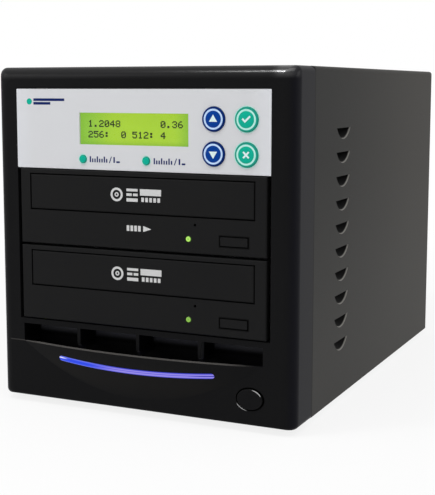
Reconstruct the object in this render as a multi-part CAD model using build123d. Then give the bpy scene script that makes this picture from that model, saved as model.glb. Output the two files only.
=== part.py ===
from build123d import *
import math
import os

os.makedirs("parts", exist_ok=True)

# Disc duplicator tower, in millimetres. X runs to the right, Y to the back and Z up.
# The front faces -Y, and the origin lies under the middle of the object, on the floor.

# Case
side_rail = 13.4
top_rail = 11.3
case_depth = 272.3
foot_height = 3.0
foot_radius = 7.5
foot_from_side = 20.0
foot_from_end = 16.0
foot_chamfer = 0.8

# Front bezel
bezel_depth = 26.6
bezel_wall = 2.5
nose_radius = 6.7
nose_steps = 6
bottom_nose_share = 0.28
top_corner = 3.6
bottom_corner = 2.8
bay_side_gap = 2.2
sleeve_wall = 1.6
sleeve_depth = 20.0
boss_radius = 3.2
boss_from_side = 7.2
boss_heights = (60.0, 160.0)
boss_hole_depth = 6.0

# Air slots over the chin, and the bowed chin under them
slot_centre = -0.9
slot_from_bay_side = 3.1
slot_under_bay = 3.0
slot_height = 10.0
slot_count = 4
slot_rib = 1.9
slot_rib_reach = 2.0
slot_depth = 17.5
slot_back_wall = 2.0
slot_back_reach = 8.0
chin_bow = 8.0
chin_drop = 26.0
chin_wall = 2.2

# Light bar in the chin
light_centre = -1.65
light_half_length = 46.1
light_under_slot = 9.4
light_rise = 2.1
light_width = 3.0
light_proud = 0.3
light_flange_width = 7.0
light_flange = 1.5
light_board_half_length = 49.0
light_board_height = 8.0
light_plug_width = 10.0
light_plug_depth = 5.0
light_plug_height = 6.0
board_thickness = 1.6

# Power button
power_from_side = 24.4
power_z = 15.0
power_hole_width = 15.8
power_hole_height = 12.3
power_proud = 0.9
power_gap = 0.55
power_flange = 1.5
power_flange_lip = 1.65
power_stem_radius = 2.45
power_travel = 2.2
power_switch_width = 14.0
power_switch_height = 12.4
power_switch_depth = 12.6
power_entry = 2.0

# Steel parts
sheet = 1.0
cover_thickness = 0.9
cover_inset = 0.5
cover_gap = 0.4
cover_corner = 2.2
cover_lift = 0.8
cover_flange = 11.0
tray_flange = 12.0
sheet_gap = 0.2
frame_window_reach = 20.1
frame_window_edge = 8.2
frame_window_low = 8.0
frame_window_drop = 2.0

# Louvres pressed into both sides of the cover
louvre_count = 10
louvre_pitch = 13.31
louvre_first_top = 153.2
louvre_y = 75.6
louvre_width = 24.4
louvre_height = 6.3
louvre_press_radius = 18.0
louvre_reach = 10.0

# Screws
screw_radius = 1.45
screw_head_radius = 2.9
screw_head = 2.0
screw_length = 4.0
screw_hole = 1.7
screw_thread_gap = 0.05
cover_screw_heights = (60.0, 110.0, 165.0)
cover_screw_from_side = 5.5

# Fits
gap = 0.3
slide_gap = 0.15
running_gap = 0.05

# Drive bays
drive_lift = 0.75
drive_pitch = 42.8
face_width = 148.0
face_height = 41.4
face_thickness = 5.0
face_proud = 0.6
housing_inset = 1.0
housing_height = 41.0
housing_depth = 165.0
housing_wall = 0.8
cage_depth = 140.0
cage_foot = 11.7
cage_front_flange = 4.7
cage_window_end = 20.0
cage_window_edge = 8.0
drive_screw_z = 10.0
drive_screw_from_face = 50.0
drive_screw_spacing = 79.2

# Disc tray
tray_face_from_side = 6.6
tray_face_bottom = 19.1
tray_face_height = 19.5
tray_face_thickness = 4.2
tray_face_gap = 0.4
tray_face_round = 1.0
tray_inset = 1.9
tray_rib = 1.5
tray_rib_height = 2.0
tray_bottom = 22.0
tray_height = 7.0
tray_floor = 2.2
tray_length = 156.0
tray_travel = 134.0
disc_centre = 72.0
tray_rim = 4.5
small_well_radius = 41.0
small_well_drop = 0.6
tray_slot_half_width = 19.0
tray_slot_end = 12.0

# Rack under the tray and the loading gear
gear_module = 1.25
gear_teeth = 16
gear_y = 18.0
gear_clearance = 0.4
gear_bore = 2.05
gear_hub = 4.0
rack_from_side = 9.5
rack_back = 3.0
rack_start = 10.0
rack_spare = 6.0
rack_clearance = 0.6
backlash = 0.15
pressure_angle = 20.0

# Deck inside a drive
deck_side_gap = 2.4
deck_bottom = 8.0
deck_floor = 2.0
deck_wall_top = 27.0
deck_front = 5.6
deck_end = 156.0
deck_notch_start = 26.5
deck_notch_end = 24.0
deck_window_half = 20.0
deck_post_radius = 3.0
deck_posts_y = (32.0, 150.0)
deck_post_from_side = 2.3
spindle_radius = 1.5
spindle_top = 19.0
motor_radius = 12.0
motor_height = 2.7
turntable_radius = 14.0
turntable_rim = 2.5
turntable_nose = 7.3
turntable_top = 20.0
rod_radius = 1.5
rod_x = 24.0
rod_z = 13.5
rod_block = 4.0
rod_block_height = 7.0
rod_lead = (8.0, 6.0)
pickup_half_width = 28.0
pickup_length = 26.0
pickup_start = 92.0
pickup_bottom = 11.2
pickup_height = 5.2
pickup_travel = 28.0
lens_radius = 3.5
lens_height = 1.4

# Eject button, light pipe and emergency hole
eject_from_side = 17.9
eject_z = 7.3
eject_width = 16.2
eject_height = 5.5
eject_proud = 0.3
eject_flange = 1.2
eject_gap = 0.4
eject_lip = 1.1
eject_post_radius = 1.5
eject_post = 1.8
eject_travel = 1.0
eject_switch_gap = 0.45
eject_switch_width = 6.0
eject_switch_depth = 4.5
eject_switch_rise = 2.5
pipe_x = 30.1
pipe_z = 7.5
pipe_radius = 1.6
pipe_flange_radius = 2.5
pipe_flange = 1.0
pipe_length = 12.0
pin_hole_x = 33.9
pin_hole_z = 15.0
pin_hole_radius = 0.75

# Drive circuit board
drive_board_half_width = 55.0
drive_board_front = 60.0
drive_board_end = 160.0
drive_board_z = 2.0
drive_arm_start = 24.0
drive_arm_gap = 0.8
light_source_half_width = 2.0
light_source_depth = 2.7
drive_chips = ((-19.0, 41.0, 22.0, 22.0, 1.6), (17.0, 32.0, 14.0, 14.0, 1.2))
board_leg_from_side = 4.0
board_leg_places = (5.0, 25.0)
board_leg_radius = 1.5
plug_x = (24.0, 56.0)
plug_height = 6.5
plug_depth = 11.0

# Control module
panel_side_gap = 0.2
panel_lift = 0.55
panel_drop = 0.5
panel_height = 43.3
panel_thickness = 3.0
panel_corner = 0.4
panel_post_radius = 2.5
panel_post_from_side = 5.0
panel_post_rise = (3.5, 39.0)
window_x = -2.85
window_rise = 22.05
window_width = 65.6
window_height = 17.1
window_recess = 0.4
window_wall = 1.1
window_lip = 2.0
window_flange = 0.8
display_frame_width = 71.3
display_frame_height = 25.8
display_frame_depth = 9.1
display_board_width = 80.0
display_board_height = 36.0
display_glass = 1.1
display_margin = 1.5
display_sink = 0.3
key_from_side = (31.6, 13.3)
key_rise = (28.0, 10.2)
key_radius = 6.35
key_gap = 0.2
key_proud = 0.8
key_flange_radius = 7.4
key_flange = 0.8
key_travel = 0.5
key_round = 0.4
small_key_x = (-33.55, 5.2)
small_key_rise = 5.6
small_key_radius = 2.15
small_key_flange_radius = 3.1
switch_side = 6.0
small_switch_side = 4.4
switch_height = 4.25
switch_body = 3.2
switch_plunger_radius = 1.6
key_board_from_side = 3.0
key_board_edge = 1.2
bracket_lift = 0.5
bracket_height = 41.5
bracket_depth = 110.0
control_screw_y = (60.0, 100.0)
control_screw_rise = 19.5
control_board_from_side = 4.0
control_board_length = 100.0
control_board_front = 16.0
control_board_lift = 5.0
control_leg_radius = 2.5
control_leg_inset = (5.0, 6.0)
control_chips = ((0.0, 54.0, 28.0, 28.0, 2.4), (32.0, 50.0, 16.0, 12.0, 1.2), (-31.0, 37.0, 18.0, 14.0, 1.2))
capacitor_place = (50.0, 24.0)
capacitor_radius = 5.0
capacitor_height = 9.0
socket_overhang = 2.0
socket_x = (34.0, 46.0, -34.0, -46.0)
socket_half_width = 4.5
socket_length = 14.0
socket_height = 6.4

# Data cables
cable_radius = 2.0
cable_bend = 12.0
cable_reach = (32.0, 22.0)

# Power supply
supply_side_gap = 1.55
supply_headroom = 5.3
supply_width = 81.5
supply_height = 40.5
supply_depth = 150.0
supply_wall = 0.8
supply_window_edge = 1.3
supply_slot_count = 6
supply_slot_start = 14.0
supply_slot_pitch = 9.0
supply_slot_width = 4.0
supply_slot_edge = 8.0
supply_fan_x = -20.0
supply_fan_size = 38.0
supply_fan_depth = 15.0
supply_fan_wall = 0.8
supply_fan_spacing = 31.92
supply_fan_hole = 1.6
supply_fan_hub = 9.0
inlet_x = 21.0
inlet_z = 13.0
inlet_half_width = 13.5
inlet_half_height = 10.0
inlet_depth = 20.0
inlet_flange = 1.2
inlet_flange_lip = 1.6
inlet_cavity_half_width = 12.0
inlet_cavity_half_height = 8.0
inlet_cavity_depth = 16.0
pin_length = 13.0
pin_width = 4.0
pin_thickness = 2.0
pin_spacing = 7.0
pin_offset = 2.2
rocker_z = 31.0
rocker_half_width = 9.0
rocker_half_height = 5.0
rocker_well_depth = 6.6
rocker_radius = 4.7
rocker_tilt = 8.0
rocker_pivot_depth = 2.6
rocker_pin_radius = 1.0
rocker_pin_length = 1.2

# Case fan
fan_size = 80.0
fan_depth = 25.0
fan_z = 118.0
fan_bore = 38.3
fan_hole_spacing = 71.5
fan_hub = 18.0
fan_tip_gap = 1.3
fan_blades = 7
fan_blade_tilt = 38.0
fan_blade_thickness = 1.8
fan_spider = 3.0
fan_arms = 4
fan_screw_radius = 2.1
fan_screw_head_radius = 3.6
fan_screw_length = 9.0
fan_corner = 4.0
guard_ear = 1.2
guard_ear_radius = 4.5
guard_wire = 0.8
guard_rings = (14.0, 22.0, 30.0, 38.0)
panel_slot_count = 7
panel_slot_pitch = 6.0
panel_slot_length = 22.0
panel_slot_width = 3.0
panel_slot_x = 62.0
panel_slot_z = 118.0

# Levels and planes worked out from the sizes
bay_bottom = supply_height + supply_headroom
drive_lower_z = bay_bottom + drive_lift
panel_bottom = drive_lower_z + drive_pitch + face_height + panel_lift
bay_top = panel_bottom + panel_height + panel_drop
bay_half_width = face_width / 2 + bay_side_gap
half_width = bay_half_width + side_rail
case_width = 2 * half_width
case_height = bay_top + top_rail
boss_x = half_width - boss_from_side
slot_half_width = bay_half_width - slot_from_bay_side
slot_top = bay_bottom - slot_under_bay
slot_bottom = slot_top - slot_height
light_height = slot_bottom - light_under_slot
power_x = half_width - power_from_side
housing_half_width = face_width / 2 - housing_inset
cage_half = housing_half_width + gap
tray_face_half_width = face_width / 2 - tray_face_from_side
tray_half_width = tray_face_half_width - tray_inset
well_radius = tray_half_width - tray_rim
rack_line = rack_from_side - tray_half_width
rack_end = gear_y + tray_travel + rack_spare
rack_bottom = tray_face_bottom - tray_face_gap + rack_clearance
gear_top = tray_bottom - gear_clearance
deck_half_width = housing_half_width - housing_wall - deck_side_gap
deck_inner = tray_half_width + tray_face_gap
deck_notch = (deck_notch_start, deck_inner)
deck_window = (pickup_start, pickup_start + pickup_length + pickup_travel)
deck_post_x = tray_half_width - deck_post_from_side
rod_span = (deck_window[0] - rod_lead[0], deck_window[1] + rod_lead[1])
eject_centre = (face_width / 2 - eject_from_side, eject_z)
eject_reach = slide_gap + eject_flange + eject_post + eject_travel + eject_switch_gap
drive_arm = (drive_arm_start, deck_post_x - deck_post_radius - drive_arm_gap)
drive_arm_front = face_thickness + eject_reach
panel_half_width = bay_half_width - panel_side_gap
panel_post_x = panel_half_width - panel_post_from_side
panel_posts_z = [panel_bottom + rise for rise in panel_post_rise]
window_centre = (window_x, panel_bottom + window_rise)
key_x = [panel_half_width - distance for distance in key_from_side]
key_z = [panel_bottom + rise for rise in key_rise]
small_key_z = panel_bottom + small_key_rise
key_board_half_width = panel_half_width - key_board_from_side
bracket_half_width = housing_half_width
control_screw_z = panel_bottom + control_screw_rise
control_board_half_width = bracket_half_width - control_board_from_side
supply_x = supply_width / 2 + supply_side_gap - cage_half
rear_stand = guard_ear + screw_head - cover_thickness
whole_depth = chin_bow + case_depth + rear_stand
front = chin_bow - whole_depth / 2
back = front + case_depth
frame_y = front + bezel_depth
panel_y = back - cover_thickness
cover_half = half_width - cover_inset
inner_half = cover_half - cover_thickness - sheet_gap
cover_top = foot_height + case_height
inner_top = cover_top - cover_thickness - sheet_gap
face_y = front - face_proud
panel_back = front + panel_thickness
display_y = front + window_wall + window_flange + gap
key_switch_y = panel_back + key_flange + key_travel + running_gap
key_board_y = key_switch_y + switch_height
floor_z = foot_height + sheet
chin_radius = (slot_half_width**2 + chin_bow**2) / (2 * chin_bow)


def up(height):
    """Height over the bezel's lower edge, as a height over the floor."""
    return foot_height + height


def box(x, y, z):
    centre = Pos((x[0] + x[1]) / 2, (y[0] + y[1]) / 2, (z[0] + z[1]) / 2)
    return centre * Box(x[1] - x[0], y[1] - y[0], z[1] - z[0])


def upright(y):
    return Plane((0, y, 0), x_dir=(1, 0, 0), z_dir=(0, -1, 0))


def along_y(sketch, y):
    return extrude(upright(y[1]) * sketch, y[1] - y[0])


def along_x(sketch, x):
    return extrude(Plane.YZ.offset(x[0]) * sketch, x[1] - x[0])


def along_z(sketch, z):
    return extrude(Plane.XY.offset(z[0]) * sketch, z[1] - z[0])


def rod_along_y(x, z, radius, y):
    return along_y(Pos(x, z) * Circle(radius), y)


def rod_along_x(y, z, radius, x):
    return along_x(Pos(y, z) * Circle(radius), x)


def rod_along_z(x, y, radius, z):
    return along_z(Pos(x, y) * Circle(radius), z)


def both_sides(shape):
    return shape + mirror(shape, Plane.YZ)


def save(name, shape):
    export_step(shape, f"parts/{name}.step")


# Front bezel

def bezel_outline(inset, bottom_inset, shrink):
    low = foot_height + bottom_inset
    high = foot_height + case_height - inset
    outline = Pos(0, (low + high) / 2) * Rectangle(case_width - 2 * inset, high - low)
    outline = fillet(outline.vertices().group_by(Axis.Y)[-1], top_corner - shrink)
    return fillet(outline.vertices().group_by(Axis.Y)[0], bottom_corner - shrink)


def bezel_block(offset, y):
    """The bezel's rounded outer form, or its hollow when offset by the wall."""
    radius = nose_radius - offset
    shrink = offset * 0.6
    sections = []
    for step in range(nose_steps + 1):
        turn = math.radians(90 * step / nose_steps)
        inset = radius * (1 - math.sin(turn))
        outline = bezel_outline(offset + inset, offset + inset * bottom_nose_share, shrink)
        sections.append(upright(y[0] + radius * (1 - math.cos(turn))) * outline)
    body = along_y(bezel_outline(offset, offset, shrink), (y[0] + radius, y[1]))
    return loft(sections) + body


def chin_prism(shift, rise):
    """Bowed block that leans back as it goes down, and so dies out in the flat front."""
    left = slot_centre - slot_half_width
    right = slot_centre + slot_half_width
    nose = (slot_centre, front - chin_bow)
    quarter = front - chin_bow + chin_radius - math.sqrt(chin_radius**2 - (slot_half_width / 2) ** 2)
    plan = make_face([
        ThreePointArc((left, front), (slot_centre - slot_half_width / 2, quarter), nose),
        ThreePointArc(nose, (slot_centre + slot_half_width / 2, quarter), (right, front)),
        Polyline((right, front), (right, front + chin_bow), (left, front + chin_bow), (left, front)),
    ])
    top = Plane.XY.offset(up(slot_bottom) + rise) * Pos(0, shift - rise * chin_bow / chin_drop) * plan
    run = chin_drop + rise
    return Solid.extrude(top.faces()[0], Vector(0, run * chin_bow / chin_drop, -run))


def light_band(width):
    middle = light_height + foot_height
    ends = middle + light_rise
    arc = ThreePointArc(
        (light_centre - light_half_length, ends),
        (light_centre, middle),
        (light_centre + light_half_length, ends),
    )
    return SlotArc(arc, width)


def slot_openings(y, z):
    pitch = (2 * slot_half_width + slot_rib) / slot_count
    openings = Part()
    for index in range(slot_count):
        low = slot_centre - slot_half_width + index * pitch
        openings += box((low, low + pitch - slot_rib), y, z)
    return openings


def slot_walls():
    low = slot_centre - slot_half_width
    high = slot_centre + slot_half_width
    x = (low - sleeve_wall, high + sleeve_wall)
    top = up(slot_top)
    rib_bottom = up(slot_bottom - slot_rib_reach)
    back_y = (front + slot_depth, front + slot_depth + slot_back_wall)
    walls = box(x, (front + bezel_wall / 2, back_y[1]), (rib_bottom, top))
    walls -= slot_openings((front, back_y[0]), (rib_bottom - 1, top + 1))
    return walls + box(x, back_y, (up(slot_bottom - slot_back_reach), top))


def bay_sleeve():
    outer = bay_half_width + sleeve_wall
    y = (front + bezel_wall / 2, front + sleeve_depth)
    return box((-outer, outer), y, (up(slot_top), up(bay_top) + sleeve_wall))


def front_bezel():
    bezel = bezel_block(0, (front, frame_y)) - bezel_block(bezel_wall, (front + bezel_wall, frame_y + 1))
    before = front - chin_bow - 1
    skin = front + bezel_wall
    under_slots = box((-half_width, half_width), (before, skin), (foot_height, up(slot_bottom)))
    bezel += chin_prism(0, 0) & under_slots
    bezel -= chin_prism(chin_wall, 1.0)
    bezel += bay_sleeve() + slot_walls()
    bezel -= box((-bay_half_width, bay_half_width), (front - 1, front + sleeve_depth + 1),
                 (up(bay_bottom), up(bay_top)))
    bezel -= slot_openings((before, front + slot_depth), (up(slot_bottom), up(slot_top)))
    bezel -= along_y(light_band(light_width), (before, skin + 1))
    bezel -= along_y(Pos(power_x, up(power_z)) * Ellipse(power_hole_width / 2, power_hole_height / 2),
                     (front - 1, skin + 1))
    thread = screw_radius + screw_thread_gap
    for x in (-boss_x, boss_x):
        for height in boss_heights:
            bezel += rod_along_y(x, up(height), boss_radius, (front + bezel_wall / 2, frame_y))
            bezel -= rod_along_y(x, up(height), thread, (frame_y - boss_hole_depth, frame_y))
    return bezel


def light_bar():
    flange_y = front + bezel_wall + slide_gap
    bar = along_y(light_band(light_width - 2 * slide_gap), (front - chin_bow - 1, flange_y))
    bar = bar & chin_prism(-light_proud, 0)
    return bar + along_y(light_band(light_flange_width), (flange_y, flange_y + light_flange))


def light_board():
    y = front + bezel_wall + slide_gap + light_flange
    middle = up(light_height + light_rise / 2)
    x = (light_centre - light_board_half_length, light_centre + light_board_half_length)
    back_y = y + board_thickness
    board = box(x, (y, back_y), (middle - light_board_height / 2, middle + light_board_height / 2))
    plug = box((light_centre - light_plug_width / 2, light_centre + light_plug_width / 2),
               (back_y, back_y + light_plug_depth),
               (middle - light_plug_height / 2, middle + light_plug_height / 2))
    return board + plug


def power_button():
    centre = Pos(power_x, up(power_z))
    wide = power_hole_width / 2 - power_gap
    tall = power_hole_height / 2 - power_gap
    flange_y = front + bezel_wall + slide_gap
    cap = along_y(centre * Ellipse(wide, tall), (front - power_proud, flange_y))
    cap = fillet(cap.edges().group_by(Axis.Y)[0], power_proud * 0.8)
    lip = power_flange_lip
    flange = along_y(centre * Ellipse(wide + lip, tall + lip), (flange_y, flange_y + power_flange))
    stem_end = frame_y - power_switch_depth + power_entry
    stem = rod_along_y(power_x, up(power_z), power_stem_radius, (flange_y + power_flange, stem_end))
    return cap + flange + stem


def power_switch():
    y = (frame_y - power_switch_depth, frame_y)
    body = box((power_x - power_switch_width / 2, power_x + power_switch_width / 2), y,
               (up(power_z) - power_switch_height / 2, up(power_z) + power_switch_height / 2))
    bore_end = y[0] + power_entry + power_travel + 1
    return body - rod_along_y(power_x, up(power_z), power_stem_radius + slide_gap, (y[0] - 1, bore_end))


# Steel case

def cover_outline(inset, reach_down):
    low = foot_height + cover_lift - reach_down
    high = cover_top - inset
    outline = Pos(0, (low + high) / 2) * Rectangle(2 * (cover_half - inset), high - low)
    return fillet(outline.vertices().group_by(Axis.Y)[-1], cover_corner - inset)


def louvre_tools():
    """The dish cut from the sheet and the pressed skin behind it, for each louvre on the right side."""
    ring = ((louvre_width / 2) ** 2 + louvre_height**2) / (2 * louvre_height)
    stand_off = math.sqrt(louvre_press_radius**2 - ring**2)
    dishes = []
    skins = []
    for index in range(louvre_count):
        top = up(louvre_first_top - index * louvre_pitch)
        centre = Pos(cover_half + stand_off, front + louvre_y, top + ring - louvre_height)
        middle = front + louvre_y
        reach = box((cover_half - louvre_reach, cover_half), (middle - louvre_width, middle + louvre_width),
                    (top - louvre_height - 2 * cover_thickness, top))
        press = centre * Sphere(louvre_press_radius)
        skin = centre * Sphere(louvre_press_radius + cover_thickness)
        dishes.append(press & reach)
        skins.append((skin - press) & reach)
    return dishes, skins


def cover_screw_places():
    x = cover_half - cover_screw_from_side
    return [(side * x, up(height)) for side in (-1, 1) for height in cover_screw_heights]


def steel_cover():
    y = (frame_y + cover_gap, back)
    cover = along_y(cover_outline(0, 0), y)
    cover -= along_y(cover_outline(cover_thickness, 2), (y[0] - 1, y[1] + 1))
    window_half = cover_half - cover_flange
    flange_y = (back - cover_thickness, back)
    flange = along_y(cover_outline(0, 0), flange_y)
    flange -= box((-window_half, window_half), (flange_y[0] - 1, flange_y[1] + 1),
                  (0, cover_top - cover_flange))
    cover += flange
    dishes, skins = louvre_tools()
    for dish in dishes:
        cover -= dish
        cover -= mirror(dish, Plane.YZ)
    for skin in skins:
        cover += skin
        cover += mirror(skin, Plane.YZ)
    for x, z in cover_screw_places():
        cover -= rod_along_y(x, z, screw_hole, (back - cover_thickness - 1, back + 1))
    return cover


def base_tray():
    y = (frame_y, panel_y - sheet)
    floor = box((-inner_half, inner_half), y, (foot_height, floor_z))
    flange = box((inner_half - sheet, inner_half), y, (foot_height, foot_height + tray_flange))
    return floor + both_sides(flange)


def front_frame():
    half = inner_half - sheet - sheet_gap
    through = (frame_y - 1, frame_y + sheet + 1)
    frame = box((-half, half), (frame_y, frame_y + sheet), (floor_z, inner_top))
    frame = fillet(frame.edges().filter_by(Axis.Y).group_by(Axis.Z)[-1], cover_corner)
    frame -= box((-cage_half - gap, cage_half + gap), through, (up(drive_lower_z) - gap, up(bay_top)))
    left = light_centre - light_board_half_length - frame_window_reach
    right = power_x - power_switch_width / 2 - frame_window_edge
    frame -= box((left, right), through, (up(frame_window_low), up(slot_top - frame_window_drop)))
    for x in (-boss_x, boss_x):
        for height in boss_heights:
            frame -= rod_along_y(x, up(height), screw_hole, through)
    return frame


def panel_slots(y):
    slots = Part()
    for index in range(panel_slot_count):
        z = panel_slot_z + (index - (panel_slot_count - 1) / 2) * panel_slot_pitch
        for side in (-1, 1):
            slot = SlotOverall(panel_slot_length, panel_slot_width)
            slots += along_y(Pos(side * panel_slot_x, up(z)) * slot, y)
    return slots


def rear_panel():
    y = (panel_y - sheet, panel_y)
    through = (y[0] - 1, y[1] + 1)
    panel = box((-inner_half, inner_half), y, (foot_height, inner_top))
    upper = panel.edges().filter_by(Axis.Y).group_by(Axis.Z)[-1]
    panel = fillet(upper, cover_corner)
    panel -= rod_along_y(0, up(fan_z), fan_bore, through)
    for x, z in fan_screw_places():
        panel -= rod_along_y(x, z, fan_screw_radius + slide_gap, through)
    for x, z in cover_screw_places():
        panel -= rod_along_y(x, z, screw_radius + screw_thread_gap, through)
    reach = supply_width / 2 - supply_window_edge
    panel -= box((supply_x - reach, supply_x + reach), through,
                 (floor_z + supply_window_edge, floor_z + supply_height - supply_window_edge))
    return panel - panel_slots(through)


def drive_screw_places():
    """Y and Z of the screws in one side of the cage."""
    places = []
    for z in drive_floors():
        for step in (0, 1):
            y = face_y + face_thickness + drive_screw_from_face + step * drive_screw_spacing
            places.append((y, z + drive_screw_z))
    for y in control_screw_y:
        places.append((front + y, up(control_screw_z)))
    return places


def cage_side():
    start = frame_y + sheet
    end = start + cage_depth
    top = up(panel_bottom + panel_height)
    outer = cage_half + sheet
    side = box((cage_half, outer), (start, end), (floor_z, top))
    side += box((cage_half, outer + cage_foot), (start, end), (floor_z, floor_z + sheet))
    side += box((cage_half, outer + cage_front_flange), (start, start + sheet), (floor_z, top))
    side -= box((cage_half - 1, outer + 1), (start + cage_window_end, end - cage_window_end),
                (floor_z + cage_window_edge, up(drive_lower_z) - cage_window_edge))
    for y, z in drive_screw_places():
        side -= rod_along_x(y, z, screw_hole, (cage_half - 1, cage_half + sheet + 1))
    return side


def rubber_feet():
    x = half_width - foot_from_side
    feet = Part()
    for y in (frame_y + foot_from_end, panel_y - foot_from_end):
        foot = rod_along_z(x, y, foot_radius, (0, foot_height))
        foot = chamfer(foot.edges().group_by(Axis.Z)[0], foot_chamfer)
        feet += both_sides(foot)
    return feet


def screw_along_y(x, z, seat, turn, radius, length, head_radius):
    """turn is 1 when the head stands behind its seat and -1 when it stands before it."""
    shank = sorted((seat, seat - turn * length))
    head = sorted((seat, seat + turn * screw_head))
    return rod_along_y(x, z, radius, shank) + rod_along_y(x, z, head_radius, head)


def case_screws():
    screws = []
    for x, z in cover_screw_places():
        screws.append(screw_along_y(x, z, back, 1, screw_radius, screw_length, screw_head_radius))
    for x in (-boss_x, boss_x):
        for height in boss_heights:
            seat_y = frame_y + sheet
            screws.append(screw_along_y(x, up(height), seat_y, 1, screw_radius, screw_length,
                                        screw_head_radius))
    seat = cage_half + sheet
    for y, z in drive_screw_places():
        screw = rod_along_x(y, z, screw_radius, (seat - screw_length, seat))
        screw += rod_along_x(y, z, screw_head_radius, (seat, seat + screw_head))
        screws += [screw, mirror(screw, Plane.YZ)]
    return Compound(children=screws)


# Optical drives

def drive_floors():
    return [up(drive_lower_z), up(drive_lower_z + drive_pitch)]


def faceplate(z):
    y = (face_y, face_y + face_thickness)
    through = (y[0] - 1, y[1] + 1)
    plate = box((-face_width / 2, face_width / 2), y, (z, z + face_height))
    plate = chamfer(plate.faces().sort_by(Axis.Y)[0].edges(), 0.5)
    reach = tray_face_half_width + tray_face_gap
    bottom = z + tray_face_bottom
    plate -= box((-reach, reach), through,
                 (bottom - tray_face_gap, bottom + tray_face_height + tray_face_gap))
    wide = eject_width / 2
    tall = eject_height / 2
    plate -= box((eject_centre[0] - wide, eject_centre[0] + wide), through,
                 (z + eject_centre[1] - tall, z + eject_centre[1] + tall))
    plate -= rod_along_y(pipe_x, z + pipe_z, pipe_radius + slide_gap, through)
    plate -= rod_along_y(pin_hole_x, z + pin_hole_z, pin_hole_radius, through)
    inner = housing_half_width - housing_wall - slide_gap
    tab = box((deck_half_width + gap, inner), (y[1], y[1] + 7), (z + 13, z + 18))
    return plate + both_sides(tab)


def drive_housing(z):
    y = (face_y + face_thickness, face_y + face_thickness + housing_depth)
    low = z + (face_height - housing_height) / 2
    shell = box((-housing_half_width, housing_half_width), y, (low, low + housing_height))
    inner = housing_half_width - housing_wall
    floor = low + housing_wall
    shell -= box((-inner, inner), (y[0] - 1, y[1] - housing_wall),
                 (floor, low + housing_height - housing_wall))
    shell -= box((plug_x[0] - slide_gap, plug_x[1] + slide_gap), (y[1] - 2, y[1] + 1),
                 (floor + drive_board_z - slide_gap, floor + drive_board_z + plug_height + slide_gap))
    for step in (0, 1):
        hole_y = y[0] + drive_screw_from_face + step * drive_screw_spacing
        hole = rod_along_x(hole_y, z + drive_screw_z, screw_radius + screw_thread_gap,
                           (inner - 1, housing_half_width + 1))
        shell -= both_sides(hole)
    return shell


def housing_floor(z):
    return z + (face_height - housing_height) / 2 + housing_wall


def rack_teeth(z):
    """Straight teeth along the tray's left side that face the gear."""
    pitch = math.pi * gear_module
    slope = math.tan(math.radians(pressure_angle))
    tip = gear_module
    root = 1.25 * gear_module
    half = pitch / 4 - backlash / 2
    y_gear = face_y + gear_y
    first = math.ceil((rack_start - gear_y) / pitch)
    last = math.floor((rack_end - gear_y) / pitch)
    line = rack_line
    height = (z + rack_bottom, z + tray_bottom)
    outline = box((line - root - rack_back, line - root),
                  (face_y + rack_start - pitch / 2, face_y + rack_end), height)
    for index in range(first, last):
        centre = y_gear + index * pitch
        tooth = Polyline(
            (line - root - 0.1, centre - half - root * slope),
            (line + tip, centre - half + tip * slope),
            (line + tip, centre + half - tip * slope),
            (line - root - 0.1, centre + half + root * slope),
            close=True,
        )
        outline += along_z(make_face(tooth), height)
    return outline


def disc_tray(z):
    y0 = face_y + tray_face_thickness
    y1 = y0 + tray_length
    low = z + tray_bottom
    tray = box((-tray_half_width, tray_half_width), (y0, y1), (low, low + tray_height))
    reach = tray_half_width + tray_rib
    tray += box((-reach, reach), (y0, y1), (low, low + tray_rib_height))
    centre_y = face_y + disc_centre
    floor = low + tray_floor
    tray -= rod_along_z(0, centre_y, well_radius, (floor, low + tray_height + 1))
    tray -= rod_along_z(0, centre_y, small_well_radius, (floor - small_well_drop, floor + 1))
    rear = (centre_y + well_radius * 0.7, y1 - 6)
    tray -= box((-well_radius * 0.6, well_radius * 0.6), rear, (floor, low + tray_height + 1))
    half = tray_slot_half_width
    tray -= box((-half, half), (centre_y, y1 - tray_slot_end), (low - 1, floor + 1))
    tray -= rod_along_z(0, centre_y, half, (low - 1, floor + 1))
    return tray + rack_teeth(z)


def tray_front(z):
    low = z + tray_face_bottom
    face = box((-tray_face_half_width, tray_face_half_width), (face_y, face_y + tray_face_thickness),
               (low, low + tray_face_height))
    return fillet(face.faces().sort_by(Axis.Y)[0].edges(), tray_face_round)


def gear_outline():
    """Involute gear with each flank drawn as an arc through three points of the true curve."""
    pitch_radius = gear_module * gear_teeth / 2
    base = pitch_radius * math.cos(math.radians(pressure_angle))
    tip = pitch_radius + gear_module
    root = pitch_radius - 1.25 * gear_module
    half_tooth = math.pi / (2 * gear_teeth) - backlash / (2 * pitch_radius)

    def involute(angle):
        return math.tan(angle) - angle

    def flank_point(radius):
        angle = math.acos(min(1.0, base / radius))
        turn = half_tooth + involute(math.radians(pressure_angle)) - involute(angle)
        return radius, turn

    def place(radius, angle):
        return radius * math.cos(angle), radius * math.sin(angle)

    start = max(base, root)
    radii = (start, (start + tip) / 2, tip)
    flank = [flank_point(radius) for radius in radii]
    gear = Circle(root)
    for index in range(gear_teeth):
        middle = 2 * math.pi * (index + 0.5) / gear_teeth
        upper = [place(radius, middle + turn) for radius, turn in flank]
        lower = [place(radius, middle - turn) for radius, turn in flank]
        inner_upper = place(root * 0.9, middle + flank[0][1])
        inner_lower = place(root * 0.9, middle - flank[0][1])
        edges = [
            Line(inner_lower, lower[0]),
            ThreePointArc(*lower),
            ThreePointArc(lower[2], place(tip, middle), upper[2]),
            ThreePointArc(*reversed(upper)),
            Line(upper[0], inner_upper),
            Line(inner_upper, inner_lower),
        ]
        gear += make_face(edges)
    return gear


def gear_centre():
    return rack_line + gear_module * gear_teeth / 2, face_y + gear_y


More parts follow.
